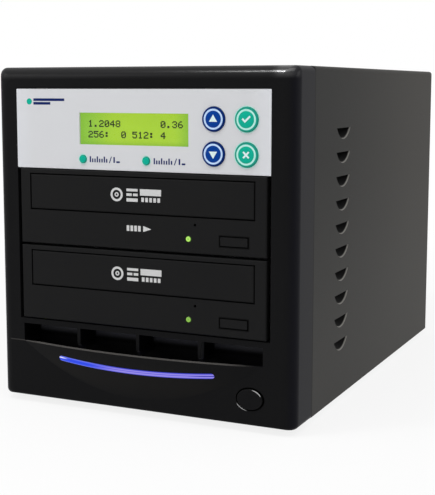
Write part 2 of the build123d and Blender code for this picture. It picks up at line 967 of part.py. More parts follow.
def loading_gear(z):
    x, y = gear_centre()
    top = z + gear_top
    gear = along_z(Pos(x, y) * gear_outline(), (z + rack_bottom, top))
    hub_bottom = z + deck_bottom + deck_floor + gap
    gear += rod_along_z(x, y, gear_hub, (hub_bottom, top))
    return gear - rod_along_z(x, y, gear_bore, (hub_bottom - 1, top + 1))


def drive_deck(z):
    y = (face_y + deck_front, face_y + deck_end)
    floor = z + deck_bottom
    deck = box((-deck_half_width, deck_half_width), y, (floor, floor + deck_floor))
    deck += both_sides(box((deck_inner, deck_half_width), y, (floor, z + deck_wall_top)))
    groove_low = z + tray_bottom - gap
    groove_high = z + tray_bottom + tray_rib_height + gap
    groove_end = tray_half_width + tray_rib + tray_face_gap
    groove = box((deck_inner - 1, groove_end), (y[0] - 1, y[1] + 1), (groove_low, groove_high))
    deck -= both_sides(groove)
    deck -= box(deck_notch, (y[0] - 1, face_y + deck_notch_end), (floor - 1, floor + deck_floor + 1))
    deck -= box((-deck_window_half, deck_window_half), (face_y + deck_window[0], face_y + deck_window[1]),
                (floor - 1, floor + deck_floor + 1))
    for post_y in deck_posts_y:
        post = rod_along_z(deck_post_x, face_y + post_y, deck_post_radius, (housing_floor(z), floor))
        deck += both_sides(post)
    top = floor + deck_floor
    centre_y = face_y + disc_centre
    deck += rod_along_z(0, centre_y, motor_radius, (top, top + motor_height))
    deck += rod_along_z(0, centre_y, spindle_radius, (top, z + spindle_top))
    x, gear_place = gear_centre()
    deck += rod_along_z(x, gear_place, gear_bore - running_gap, (top, z + gear_top))
    for span in (rod_span[0], rod_span[1] - rod_block):
        block = box((rod_x - rod_block, rod_x + rod_block), (face_y + span, face_y + span + rod_block),
                    (top, top + rod_block_height))
        deck += both_sides(block)
    rod_y = (face_y + rod_span[0], face_y + rod_span[1])
    deck -= both_sides(rod_along_y(rod_x, z + rod_z, rod_radius + running_gap, rod_y))
    rod = rod_along_y(rod_x, z + rod_z, rod_radius, rod_y)
    return Compound(children=[deck, rod, mirror(rod, Plane.YZ)])


def turntable(z):
    y = face_y + disc_centre
    low = z + deck_bottom + deck_floor + motor_height + gap
    plate = rod_along_z(0, y, turntable_radius, (low, low + turntable_rim))
    plate += rod_along_z(0, y, turntable_nose, (low, z + turntable_top))
    plate = chamfer(plate.edges().group_by(Axis.Z)[-1], 1.2)
    return plate - rod_along_z(0, y, spindle_radius + running_gap, (low - 1, z + turntable_top + 1))


def pickup(z):
    y = (face_y + pickup_start, face_y + pickup_start + pickup_length)
    low = z + pickup_bottom
    sled = box((-pickup_half_width, pickup_half_width), y, (low, low + pickup_height))
    sled += rod_along_z(0, sum(y) / 2, lens_radius, (low, low + pickup_height + lens_height))
    return sled - both_sides(rod_along_y(rod_x, z + rod_z, rod_radius + running_gap, (y[0] - 1, y[1] + 1)))


def eject_button(z):
    x, offset = eject_centre
    middle = z + offset
    wide = eject_width / 2 - eject_gap
    tall = eject_height / 2 - eject_gap
    flange_y = face_y + face_thickness + slide_gap
    cap = box((x - wide, x + wide), (face_y - eject_proud, flange_y), (middle - tall, middle + tall))
    cap = fillet(cap.faces().sort_by(Axis.Y)[0].edges(), 0.3)
    cap += box((x - wide - eject_lip, x + wide + eject_lip), (flange_y, flange_y + eject_flange),
               (middle - tall - eject_lip, middle + tall + eject_lip))
    start = flange_y + eject_flange
    return cap + rod_along_y(x, middle, eject_post_radius, (start, start + eject_post))


def light_pipe(z):
    back_y = face_y + face_thickness
    pipe = rod_along_y(pipe_x, z + pipe_z, pipe_radius, (face_y - eject_proud, face_y + pipe_length))
    pipe = fillet(pipe.edges().group_by(Axis.Y)[0], 0.6)
    return pipe + rod_along_y(pipe_x, z + pipe_z, pipe_flange_radius, (back_y, back_y + pipe_flange))


def chips(places, y, bottom):
    """Each place holds the middle's X, its distance behind y, and the chip's width, length and height."""
    bodies = Part()
    for x, from_edge, width, length, height in places:
        middle = y + from_edge
        bodies += box((x - width / 2, x + width / 2), (middle - length / 2, middle + length / 2),
                      (bottom, bottom + height))
    return bodies


def drive_board(z):
    floor = housing_floor(z)
    low = floor + drive_board_z
    high = low + board_thickness
    half = drive_board_half_width
    main_y = (face_y + drive_board_front, face_y + drive_board_end)
    board = box((-half, half), main_y, (low, high))
    arm_front = face_y + drive_arm_front
    board += box(drive_arm, (arm_front, main_y[0]), (low, high))
    back_y = face_y + face_thickness + housing_depth
    board += box(plug_x, (back_y - plug_depth, back_y), (low, low + plug_height))
    switch_x = eject_centre[0]
    board += box((switch_x - eject_switch_width / 2, switch_x + eject_switch_width / 2),
                 (arm_front, arm_front + eject_switch_depth), (high, z + eject_z + eject_switch_rise))
    source_y = face_y + pipe_length + gap
    board += box((pipe_x - light_source_half_width, pipe_x + light_source_half_width),
                 (source_y, source_y + light_source_depth), (high, z + pipe_z + light_source_half_width))
    board += chips(drive_chips, main_y[0], high)
    leg_x = half - board_leg_from_side
    for y in (main_y[0] + board_leg_places[0], main_y[1] - board_leg_places[1]):
        board += both_sides(rod_along_z(leg_x, y, board_leg_radius, (floor, low)))
    return board


# Control module

def key_places():
    names = (("key_up", "key_down"), ("key_enter", "key_escape"))
    places = {}
    for column, x in enumerate(key_x):
        for row, z in enumerate(key_z):
            places[names[column][row]] = (x, up(z))
    return places


def small_key_places():
    return {name: (x, up(small_key_z)) for name, x in zip(("key_speed", "key_source"), small_key_x)}


def window_outline(grow):
    x, z = window_centre
    return Pos(x, up(z)) * Rectangle(window_width + 2 * grow, window_height + 2 * grow)


def display_frame_outline(grow):
    x, z = window_centre
    return Pos(x, up(z)) * Rectangle(display_frame_width + 2 * grow, display_frame_height + 2 * grow)


def control_panel():
    low = up(panel_bottom)
    outline = Pos(0, low + panel_height / 2) * Rectangle(2 * panel_half_width, panel_height)
    outline = fillet(outline.vertices(), panel_corner)
    outline -= window_outline(0)
    for x, z in key_places().values():
        outline -= Pos(x, z) * Circle(key_radius + key_gap)
    for x, z in small_key_places().values():
        outline -= Pos(x, z) * Circle(small_key_radius + key_gap)
    panel = along_y(outline, (front, panel_back))
    panel -= along_y(display_frame_outline(gap), (front + window_wall, panel_back + 1))
    for x in (-panel_post_x, panel_post_x):
        for z in panel_posts_z:
            panel += rod_along_y(x, up(z), panel_post_radius, (panel_back, key_board_y))
    return panel


def display_window():
    flange_y = front + window_wall
    pane = along_y(window_outline(-slide_gap), (front + window_recess, flange_y))
    return pane + along_y(window_outline(window_lip), (flange_y, flange_y + window_flange))


def display_module():
    x, z = window_centre
    middle = up(z)
    y1 = display_y + display_frame_depth
    module = along_y(display_frame_outline(0), (display_y, y1))
    glass_end = display_y + display_sink + display_glass
    module -= along_y(window_outline(display_margin), (display_y - 1, glass_end))
    board = box((x - display_board_width / 2, x + display_board_width / 2), (y1, y1 + board_thickness),
                (middle - display_board_height / 2, middle + display_board_height / 2))
    return module + board


def display_screen():
    y = display_y + display_sink
    return along_y(window_outline(display_margin - slide_gap), (y, y + display_glass))


def round_key(x, z, radius, flange_radius):
    cap = rod_along_y(x, z, radius, (front - key_proud, panel_back))
    cap = fillet(cap.edges().group_by(Axis.Y)[0], key_round)
    return cap + rod_along_y(x, z, flange_radius, (panel_back, panel_back + key_flange))


def tact_switch(x, z, side):
    half = side / 2
    body = box((x - half, x + half), (key_board_y - switch_body, key_board_y), (z - half, z + half))
    return body + rod_along_y(x, z, switch_plunger_radius, (key_switch_y, key_board_y - switch_body))


def key_board():
    x, z = window_centre
    middle = up(z)
    y = (key_board_y, key_board_y + board_thickness)
    board = box((-key_board_half_width, key_board_half_width), y,
                (up(panel_bottom + key_board_edge), up(panel_bottom + panel_height - key_board_edge)))
    wide = display_frame_width / 2 + gap
    tall = display_frame_height / 2 + gap
    board -= box((x - wide, x + wide), (y[0] - 1, y[1] + 1), (middle - tall, middle + tall))
    for place_x, place_z in key_places().values():
        board += tact_switch(place_x, place_z, switch_side)
    for place_x, place_z in small_key_places().values():
        board += tact_switch(place_x, place_z, small_switch_side)
    return board


def bracket_front():
    return key_board_y + board_thickness


def control_bracket():
    y = (bracket_front(), bracket_front() + bracket_depth)
    low = up(panel_bottom + bracket_lift)
    bracket = box((-bracket_half_width, bracket_half_width), y, (low, low + sheet))
    side = box((bracket_half_width - sheet, bracket_half_width), y, (low, low + bracket_height))
    bracket += both_sides(side)
    for hole_y in control_screw_y:
        hole = rod_along_x(front + hole_y, up(control_screw_z), screw_radius + screw_thread_gap,
                           (bracket_half_width - sheet - 1, bracket_half_width + 1))
        bracket -= both_sides(hole)
    return bracket


def control_board_level():
    return up(panel_bottom + bracket_lift) + sheet + control_board_lift


def controller_board():
    y = (front + control_board_front, front + control_board_front + control_board_length)
    low = control_board_level()
    high = low + board_thickness
    half = control_board_half_width
    board = box((-half, half), y, (low, high))
    leg_x = half - control_leg_inset[0]
    for leg_y in (y[0] + control_leg_inset[1], y[1] - control_leg_inset[1]):
        board += both_sides(rod_along_z(leg_x, leg_y, control_leg_radius, (low - control_board_lift, low)))
    socket_end = y[1] + socket_overhang
    for x in socket_x:
        board += box((x - socket_half_width, x + socket_half_width),
                     (socket_end - socket_length, socket_end), (high, high + socket_height))
    board += chips(control_chips, y[0], high)
    x, from_edge = capacitor_place
    return board + rod_along_z(x, y[0] + from_edge, capacitor_radius, (high, high + capacitor_height))


def data_cables():
    """One lead from each drive's plug, up behind the drives to a socket of the controller board."""
    start_y = face_y + face_thickness + housing_depth
    end_y = front + control_board_front + control_board_length + socket_overhang
    end_z = control_board_level() + board_thickness + socket_height / 2
    leads = []
    for z, x, reach in zip(drive_floors(), socket_x, cable_reach):
        start_z = housing_floor(z) + drive_board_z + plug_height / 2
        route = FilletPolyline(
            (x, start_y, start_z),
            (x, start_y + reach, start_z),
            (x, start_y + reach, end_z),
            (x, end_y, end_z),
            radius=cable_bend,
        )
        section = Plane((x, start_y, start_z), x_dir=(1, 0, 0), z_dir=(0, 1, 0)) * Circle(cable_radius)
        leads.append(sweep(section, route))
    return Compound(children=leads)


# Power supply

def supply_rear():
    return panel_y - sheet


def finger_guard(x, z, radius, y):
    """Arc slots left between rings and a cross, punched in sheet."""
    slots = Part()
    for ring in range(3):
        inner = radius * (0.28 + 0.24 * ring)
        outer = inner + radius * 0.16
        slots += rod_along_y(x, z, outer, y) - rod_along_y(x, z, inner, y)
    bar = radius * 0.09
    cross = box((x - radius, x + radius), y, (z - bar, z + bar))
    cross += box((x - bar, x + bar), y, (z - radius, z + radius))
    return slots - cross


def power_supply_case():
    y = (supply_rear() - supply_depth, supply_rear())
    x = (supply_x - supply_width / 2, supply_x + supply_width / 2)
    z = (floor_z, floor_z + supply_height)
    wall = supply_wall
    case = box(x, y, z)
    case -= box((x[0] + wall, x[1] - wall), (y[0] + wall, y[1] - wall), (z[0] + wall, z[1] - wall))
    through = (y[1] - wall - 1, y[1] + 1)
    middle = floor_z + supply_height / 2
    case -= finger_guard(supply_x + supply_fan_x, middle, supply_fan_size / 2 - 1, through)
    centre = supply_x + inlet_x
    case -= box((centre - inlet_half_width, centre + inlet_half_width), through,
                (floor_z + inlet_z - inlet_half_height, floor_z + inlet_z + inlet_half_height))
    reach = rocker_half_height + sheet
    case -= box((centre - rocker_half_width - sheet, centre + rocker_half_width + sheet), through,
                (floor_z + rocker_z - reach, floor_z + rocker_z + reach))
    front_through = (y[0] - 1, y[0] + wall + 1)
    for index in range(supply_slot_count):
        slot_x = x[0] + supply_slot_start + index * supply_slot_pitch
        case -= box((slot_x, slot_x + supply_slot_width), front_through,
                    (z[0] + supply_slot_edge, z[1] - supply_slot_edge))
    return case


def power_inlet():
    """One moulding that holds the mains inlet and, over it, the well of the rocker switch."""
    x = supply_x + inlet_x
    z = floor_z + inlet_z
    rear = supply_rear()
    outer = rear + inlet_flange
    wide = inlet_half_width - slide_gap
    tall = inlet_half_height - slide_gap
    body = box((x - wide, x + wide), (rear - inlet_depth, rear), (z - tall, z + tall))
    well_z = floor_z + rocker_z
    frame_wide = rocker_half_width + sheet - slide_gap
    frame_tall = rocker_half_height + sheet - slide_gap
    body += box((x - frame_wide, x + frame_wide), (rear - rocker_well_depth - sheet, rear),
                (well_z - frame_tall, well_z + frame_tall))
    lip = inlet_flange_lip
    body += box((x - wide - lip, x + wide + lip), (rear, outer), (z - tall - lip, well_z + frame_tall + lip))
    cavity_y = (outer - inlet_cavity_depth, outer + 1)
    body -= box((x - inlet_cavity_half_width, x + inlet_cavity_half_width), cavity_y,
                (z - inlet_cavity_half_height, z + inlet_cavity_half_height))
    body -= box((x - rocker_half_width, x + rocker_half_width), (outer - rocker_well_depth, outer + 1),
                (well_z - rocker_half_height, well_z + rocker_half_height))
    pivot_y = outer - rocker_pivot_depth
    reach = rocker_half_width + rocker_pin_length
    return body - rod_along_x(pivot_y, well_z, rocker_pin_radius + running_gap, (x - reach, x + reach))


def inlet_pins():
    x = supply_x + inlet_x
    z = floor_z + inlet_z
    start = supply_rear() + inlet_flange - inlet_cavity_depth
    pins = []
    for offset_x, offset_z in ((-pin_spacing, -pin_offset), (0, pin_offset), (pin_spacing, -pin_offset)):
        pins.append(box((x + offset_x - pin_thickness / 2, x + offset_x + pin_thickness / 2),
                        (start, start + pin_length),
                        (z + offset_z - pin_width / 2, z + offset_z + pin_width / 2)))
    return Compound(children=pins)


def rocker_switch():
    """At rest its lower end stands out; it tips about a pin across the well."""
    x = supply_x + inlet_x
    z = floor_z + rocker_z
    pivot_y = supply_rear() + inlet_flange - rocker_pivot_depth
    wide = rocker_half_width - gap
    rocker = rod_along_x(pivot_y, z, rocker_radius, (x - wide, x + wide))
    rocker -= box((x - wide - 1, x + wide + 1), (pivot_y - 20, pivot_y - 1.5), (z - 20, z + 20))
    lift = math.tan(math.radians(rocker_tilt / 2))
    reach = 2 * rocker_radius
    top = pivot_y + rocker_pivot_depth
    cut = Polyline(
        (top, z),
        (top + 2 * reach * lift, z + reach),
        (top + reach, z + reach),
        (top + reach, z - reach),
        (top, z - reach),
        close=True,
    )
    tilt = Pos(0, pivot_y, z) * Rot(-rocker_tilt / 2, 0, 0) * Pos(0, -pivot_y, -z)
    rocker -= tilt * along_x(make_face(cut), (x - wide - 1, x + wide + 1))
    reach_x = rocker_half_width + rocker_pin_length - gap
    return rocker + rod_along_x(pivot_y, z, rocker_pin_radius, (x - reach_x, x + reach_x))


# Fans

def fan_frame(x, z, size, depth, rear, bore, hole_spacing, hole_radius, hub):
    """Square frame with a round duct; its spider and the rotor's pin are at the back."""
    y = (rear - depth, rear)
    outline = fillet((Pos(x, z) * Rectangle(size, size)).vertices(), size * 0.05)
    frame = along_y(outline - Pos(x, z) * Circle(bore), y)
    arm_y = (rear - fan_spider, rear)
    arms = rod_along_y(x, z, hub, arm_y)
    for index in range(fan_arms):
        turn = Rot(0, 0, 45 + 360 * index / fan_arms)
        arm = Pos(x, z) * turn * Pos(bore / 2, 0) * Rectangle(bore + 1, hub * 0.28)
        arms += along_y(arm, arm_y) & rod_along_y(x, z, bore + 0.5, arm_y)
    frame += arms
    pin = (rear - depth * 0.7, rear - fan_spider)
    frame += rod_along_y(x, z, spindle_radius, pin)
    for side_x in (-1, 1):
        for side_z in (-1, 1):
            place = (x + side_x * hole_spacing / 2, z + side_z * hole_spacing / 2)
            frame -= rod_along_y(*place, hole_radius, (y[0] - 1, y[1] + 1))
    return frame


def fan_rotor(x, z, depth, rear, tip, hub):
    y = (rear - depth * 0.92, rear - fan_spider - gap)
    middle = sum(y) / 2
    length = y[1] - y[0]
    rotor = Part()
    for index in range(fan_blades):
        turn = 360 * index / fan_blades
        blade = Pos((hub + tip) / 2, 0, 0) * Rot(fan_blade_tilt, 0, 0) * Box(
            tip - hub + 2, length * 1.25, fan_blade_thickness)
        rotor += Pos(x, middle, z) * Rot(0, turn, 0) * blade
    sleeve = rod_along_y(x, z, tip, y)
    rotor = rotor & sleeve
    rotor += rod_along_y(x, z, hub, y)
    rotor -= rod_along_y(x, z, spindle_radius + running_gap, (rear - depth * 0.7 - gap, y[1] + 1))
    return rotor


def fan_screw_places():
    half = fan_hole_spacing / 2
    return [(x * half, up(fan_z) + z * half) for x in (-1, 1) for z in (-1, 1)]


def fan_guard():
    """Wire rings on two crossed bars, with a flat ear under each screw."""
    z = up(fan_z)
    y = (panel_y, panel_y + guard_ear)
    half = fan_hole_spacing / 2
    guard = Part()
    for radius in guard_rings:
        ring = rod_along_y(0, z, radius + guard_wire, y) - rod_along_y(0, z, radius - guard_wire, y)
        guard += ring
    reach = half * math.sqrt(2)
    for turn in (45, -45):
        bar = Pos(0, z) * Rot(0, 0, turn) * Rectangle(2 * reach, 2 * guard_wire)
        guard += along_y(bar, y)
    for x, ear_z in fan_screw_places():
        guard += rod_along_y(x, ear_z, guard_ear_radius, y)
        guard -= rod_along_y(x, ear_z, fan_screw_radius + slide_gap, (y[0] - 1, y[1] + 1))
    return guard


def fan_screws():
    seat = panel_y + guard_ear
    return Compound(children=[
        screw_along_y(x, z, seat, 1, fan_screw_radius, fan_screw_length, fan_screw_head_radius)
        for x, z in fan_screw_places()
    ])


def build_drive(name, z):
    save(f"{name}_faceplate", faceplate(z))
    save(f"{name}_housing", drive_housing(z))
    save(f"{name}_tray", disc_tray(z))
    save(f"{name}_tray_front", tray_front(z))
    save(f"{name}_loading_gear", loading_gear(z))
    save(f"{name}_deck", drive_deck(z))
    save(f"{name}_turntable", turntable(z))
    save(f"{name}_pickup", pickup(z))
    save(f"{name}_eject_button", eject_button(z))
    save(f"{name}_light_pipe", light_pipe(z))
    save(f"{name}_board", drive_board(z))


def build_control_module():
    save("control_panel", control_panel())
    save("display_window", display_window())
    save("display_module", display_module())
    save("display_screen", display_screen())
    save("key_board", key_board())
    save("control_bracket", control_bracket())
    save("controller_board", controller_board())
    for name, (x, z) in key_places().items():
        save(name, round_key(x, z, key_radius, key_flange_radius))
    for name, (x, z) in small_key_places().items():
        save(name, round_key(x, z, small_key_radius, small_key_flange_radius))


def build_case():
    save("front_bezel", front_bezel())
    save("steel_cover", steel_cover())
    save("base_tray", base_tray())
    save("front_frame", front_frame())
    save("rear_panel", rear_panel())
    side = cage_side()
    save("cage_right", side)
    save("cage_left", mirror(side, Plane.YZ))
    save("rubber_feet", rubber_feet())
    save("case_screws", case_screws())
    save("light_bar", light_bar())
    save("light_board", light_board())
    save("power_button", power_button())
    save("power_switch", power_switch())


def build_back():
    save("power_supply_case", power_supply_case())
    save("power_inlet", power_inlet())
    save("inlet_pins", inlet_pins())
    save("rocker_switch", rocker_switch())
    small_x = supply_x + supply_fan_x
    small_z = floor_z + supply_height / 2
    small_rear = supply_rear() - supply_wall
    small_bore = supply_fan_size / 2 - supply_fan_wall
    save("supply_fan_frame", fan_frame(small_x, small_z, supply_fan_size, supply_fan_depth, small_rear,
                                       small_bore, supply_fan_spacing, supply_fan_hole, supply_fan_hub))
    save("supply_fan_rotor", fan_rotor(small_x, small_z, supply_fan_depth, small_rear,
                                       small_bore - supply_fan_wall, supply_fan_hub))
    middle = up(fan_z)
    save("case_fan_frame", fan_frame(0, middle, fan_size, fan_depth, supply_rear(), fan_bore,
                                     fan_hole_spacing, fan_screw_radius + slide_gap, fan_hub))
    save("case_fan_rotor", fan_rotor(0, middle, fan_depth, supply_rear(), fan_bore - fan_tip_gap, fan_hub))
    save("fan_guard", fan_guard())
    save("fan_screws", fan_screws())


build_case()
build_control_module()
for drive_name, drive_z in zip(("lower_drive", "upper_drive"), drive_floors()):
    build_drive(drive_name, drive_z)
save("data_cables", data_cables())
build_back()
print("origin under the middle, front plane at", round(front, 3), "back at", round(back, 3))
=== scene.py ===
import math

import bmesh
import bpy
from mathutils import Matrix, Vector


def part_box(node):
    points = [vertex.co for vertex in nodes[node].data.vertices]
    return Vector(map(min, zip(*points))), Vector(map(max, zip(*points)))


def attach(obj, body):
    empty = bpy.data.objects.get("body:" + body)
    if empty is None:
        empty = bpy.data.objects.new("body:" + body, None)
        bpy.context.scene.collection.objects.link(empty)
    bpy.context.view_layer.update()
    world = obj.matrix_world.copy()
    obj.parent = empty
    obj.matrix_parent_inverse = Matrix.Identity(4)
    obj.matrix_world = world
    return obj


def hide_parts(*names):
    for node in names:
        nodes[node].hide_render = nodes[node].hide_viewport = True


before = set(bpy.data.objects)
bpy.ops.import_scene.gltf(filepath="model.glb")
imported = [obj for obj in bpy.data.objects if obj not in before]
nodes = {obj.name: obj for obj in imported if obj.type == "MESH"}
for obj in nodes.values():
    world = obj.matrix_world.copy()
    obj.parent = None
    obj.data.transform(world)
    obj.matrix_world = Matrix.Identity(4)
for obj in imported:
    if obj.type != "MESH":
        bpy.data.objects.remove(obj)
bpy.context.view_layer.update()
mm = 0.001
print("frame loaded:", len(nodes), "nodes")


def lowOf(name):
    # lowest corner of a CAD node, in millimetres
    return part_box(name)[0] / mm


def highOf(name):
    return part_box(name)[1] / mm


def middleOf(name):
    return (lowOf(name) + highOf(name)) / 2


# Camera, lamps, floor ------------------------------------------------

view = {
    "place": (0.28228, -0.64815, 0.17838),
    "turn": 25.14,
    "dip": 7.18,
    "lens": 80.56,
    "shift": (0.0209, -0.0416),
}
camera = bpy.data.objects.new("camera", bpy.data.cameras.new("camera"))
bpy.context.scene.collection.objects.link(camera)
camera.location = view["place"]
camera.rotation_euler = (math.radians(90 - view["dip"]), 0, math.radians(view["turn"]))
camera.data.lens = view["lens"]
camera.data.shift_x, camera.data.shift_y = view["shift"]
camera.data.clip_start, camera.data.clip_end = 0.05, 60
bpy.context.scene.camera = camera
bpy.context.scene.view_settings.view_transform = "Standard"
print("camera placed")


class Wire:
    # a socket that takes part in plain sums, so a mask reads as arithmetic
    def __init__(self, tree, socket):
        self.tree = tree
        self.socket = socket

    def step(self, operation, first, second):
        node = self.tree.nodes.new("ShaderNodeMath")
        node.operation = operation
        for place, item in zip(node.inputs, (first, second)):
            fill(self.tree, place, item)
        return Wire(self.tree, node.outputs[0])

    def __add__(self, other):
        return self.step("ADD", self, other)

    __radd__ = __add__

    def __sub__(self, other):
        return self.step("SUBTRACT", self, other)

    def __rsub__(self, other):
        return self.step("SUBTRACT", other, self)

    def __mul__(self, other):
        return self.step("MULTIPLY", self, other)

    __rmul__ = __mul__

    def __truediv__(self, other):
        return self.step("DIVIDE", self, other)

    def __rtruediv__(self, other):
        return self.step("DIVIDE", other, self)

    def __pow__(self, other):
        return self.step("POWER", self, other)

    def __gt__(self, other):
        return self.step("GREATER_THAN", self, other)

    def __lt__(self, other):
        return self.step("LESS_THAN", self, other)

    def __abs__(self):
        return self.step("ABSOLUTE", self, 0.0)


def fill(tree, place, item):
    if isinstance(item, Wire):
        tree.links.new(item.socket, place)
    elif isinstance(item, (tuple, list)) and len(item) == 3 and place.type == "RGBA":
        place.default_value = (*item, 1)
    else:
        place.default_value = item


class Finish:
    # one material on a Principled shader; what is the same all over is set on its sockets
    def __init__(self, name, **sockets):
        self.material = bpy.data.materials.new(name)
        self.material.use_nodes = True
        self.tree = self.material.node_tree
        self.shader = next(n for n in self.tree.nodes if n.type == "BSDF_PRINCIPLED")
        self.put(**sockets)
        self.place = self.node("ShaderNodeTexCoord", output="Object")
        apart = self.tree.nodes.new("ShaderNodeSeparateXYZ")
        self.tree.links.new(self.place.socket, apart.inputs[0])
        # object coordinates are the frame's own, here in millimetres
        self.x, self.y, self.z = (Wire(self.tree, s) * 1000 for s in apart.outputs)

    def put(self, **sockets):
        for name, item in sockets.items():
            label = "".join(" " + c if c.isupper() and i else c for i, c in enumerate(name))
            fill(self.tree, self.shader.inputs[label.replace("I O R", "IOR")], item)

    def node(self, kind, settings=None, inputs=None, output=0):
        node = self.tree.nodes.new(kind)
        for key, item in (settings or {}).items():
            setattr(node, key, item)
        for key, item in (inputs or {}).items():
            fill(self.tree, node.inputs[key], item)
        return Wire(self.tree, node.outputs[output])

    def blend(self, share, first, second):
        return self.node("ShaderNodeMix", {"data_type": "RGBA"},
                         {"Factor": share, 6: first, 7: second}, output=2)

    def noise(self, scale, detail):
        return self.node("ShaderNodeTexNoise", None,
                         {"Vector": self.place, "Scale": scale, "Detail": detail, "Roughness": 0.55})

    def soft(self, value, low, high):
        return self.node("ShaderNodeMapRange", {"interpolation_type": "SMOOTHSTEP"},
                         {"Value": value, "From Min": low, "From Max": high})

    def outline(self, low, high, wide):
        # a band along the edges of an upright rectangle
        across = abs(self.x - (low.x + high.x) / 2) - (high.x - low.x) / 2
        upward = abs(self.z - (low.z + high.z) / 2) - (high.z - low.z) / 2
        return 1 - self.soft(abs(across.step("MAXIMUM", across, upward)), wide * 0.55, wide)

    def within(self, value, low, high, edge):
        return self.soft(value, low - edge, low + edge) * (1 - self.soft(value, high - edge, high + edge))

    def bump(self, height, deep, strength):
        normal = self.node("ShaderNodeBump", None,
                           {"Height": height, "Distance": deep * mm, "Strength": strength}, output="Normal")
        fill(self.tree, self.shader.inputs["Normal"], normal)


def srgb(red, green, blue):
    # colours are given as screen values and turned to linear ones
    return tuple(v / 12.92 if v <= 0.04045 else ((v + 0.055) / 1.055) ** 2.4
                 for v in (red / 255, green / 255, blue / 255))


lamps = {
    "over": {"at": (0.1, -0.5, 1.3), "to": (0, -0.02, 0.1), "size": (1.2, 0.8), "watts": 6.5},
    "right": {"at": (1.35, 0.2, 0.35), "to": (0, 0, 0.09), "size": (0.9, 0.9), "watts": 3.6},
    "left": {"at": (-1.1, -1.0, 0.7), "to": (0, 0, 0.09), "size": (0.9, 0.9), "watts": 3.4},
    "glint": {"at": (-0.23, -0.41, 0.87), "to": (0.08, -0.13, 0.18), "size": (0.1, 0.08), "watts": 1.5},
}


def makeLamp(name, at, to, size, watts):
    light = bpy.data.lights.new(name, "AREA")
    light.shape = "RECTANGLE"
    light.size, light.size_y = size
    light.energy = watts
    lamp = bpy.data.objects.new(name, light)
    lamp.location = at
    lamp.rotation_euler = (Vector(to) - Vector(at)).to_track_quat("-Z", "Y").to_euler()
    bpy.context.scene.collection.objects.link(lamp)


for lampName, lamp in lamps.items():
    makeLamp(lampName, **lamp)

room = {"ambient": 0.56, "floorColour": (0.86, 0.86, 0.86), "floorLift": 0.84, "floorSize": 12.0}


def makeWorld():
    world = bpy.data.worlds.new("room")
    bpy.context.scene.world = world
    world.use_nodes = True
    tree = world.node_tree
    tree.nodes.clear()
    path = tree.nodes.new("ShaderNodeLightPath")
    seen = Wire(tree, path.outputs["Is Camera Ray"]) + Wire(tree, path.outputs["Is Glossy Ray"])
    seen = seen + Wire(tree, path.outputs["Is Transmission Ray"])
    light = tree.nodes.new("ShaderNodeBackground")
    white = tree.nodes.new("ShaderNodeBackground")
    light.inputs["Strength"].default_value = room["ambient"]
    light.inputs["Color"].default_value = (1, 1, 1, 1)
    white.inputs["Color"].default_value = (1, 1, 1, 1)
    white.inputs["Strength"].default_value = 1
    joined = tree.nodes.new("ShaderNodeMixShader")
    out = tree.nodes.new("ShaderNodeOutputWorld")
    fill(tree, joined.inputs[0], seen)
    tree.links.new(light.outputs[0], joined.inputs[1])
    tree.links.new(white.outputs[0], joined.inputs[2])
    tree.links.new(joined.outputs[0], out.inputs[0])


def makeFloor():
    mesh = bpy.data.meshes.new("floor")
    shape = bmesh.new()
    bmesh.ops.create_grid(shape, x_segments=4, y_segments=4, size=room["floorSize"] / 2)
    shape.to_mesh(mesh)
    floor = bpy.data.objects.new("floor", mesh)
    bpy.context.scene.collection.objects.link(floor)
    paper = Finish("paper floor", Roughness=0.9, SpecularIORLevel=0.0, BaseColor=room["floorColour"])
    tree = paper.tree
    path = tree.nodes.new("ShaderNodeLightPath")
    seen = Wire(tree, path.outputs["Is Camera Ray"]) + Wire(tree, path.outputs["Is Glossy Ray"])
    glow = tree.nodes.new("ShaderNodeEmission")
    joined = tree.nodes.new("ShaderNodeMixShader")
    out = next(n for n in tree.nodes if n.type == "OUTPUT_MATERIAL")
    distance = (paper.x * paper.x + paper.y * paper.y) ** 0.5
    lift = room["floorLift"] + (1 - room["floorLift"]) * paper.soft(distance, 260.0, 700.0)
    fill(tree, joined.inputs[0], seen * lift)
    tree.links.new(paper.shader.outputs[0], joined.inputs[1])
    tree.links.new(glow.outputs[0], joined.inputs[2])
    tree.links.new(joined.outputs[0], out.inputs[0])
    floor.data.materials.append(paper.material)


makeWorld()
makeFloor()
print("lamps, world and floor made")

# Finishes --------------------------------------------------------------


def mouldedPlastic(name, colour, rough, grain, deep, level=0.5, mottle=0.1):
    finish = Finish(name, SpecularIORLevel=level)
    fine = finish.noise(grain, 2.0)
    broad = finish.noise(26.0, 2.0)
    lighter = tuple(v * (1 + mottle) for v in colour)
    finish.put(BaseColor=finish.blend(broad, colour, lighter), Roughness=rough - 0.06 + 0.12 * fine)
    finish.bump(fine, deep, 0.6)
    return finish


slots = {"low": 35.8, "high": 45.8, "depth": 17.5, "halfRow": 77.0,
         "ribs": (-37.95, -0.95, 36.15), "halfRib": 0.93}
powerRing = {"half": (7.6, 5.85), "towardsLight": (0.62, 0.78)}


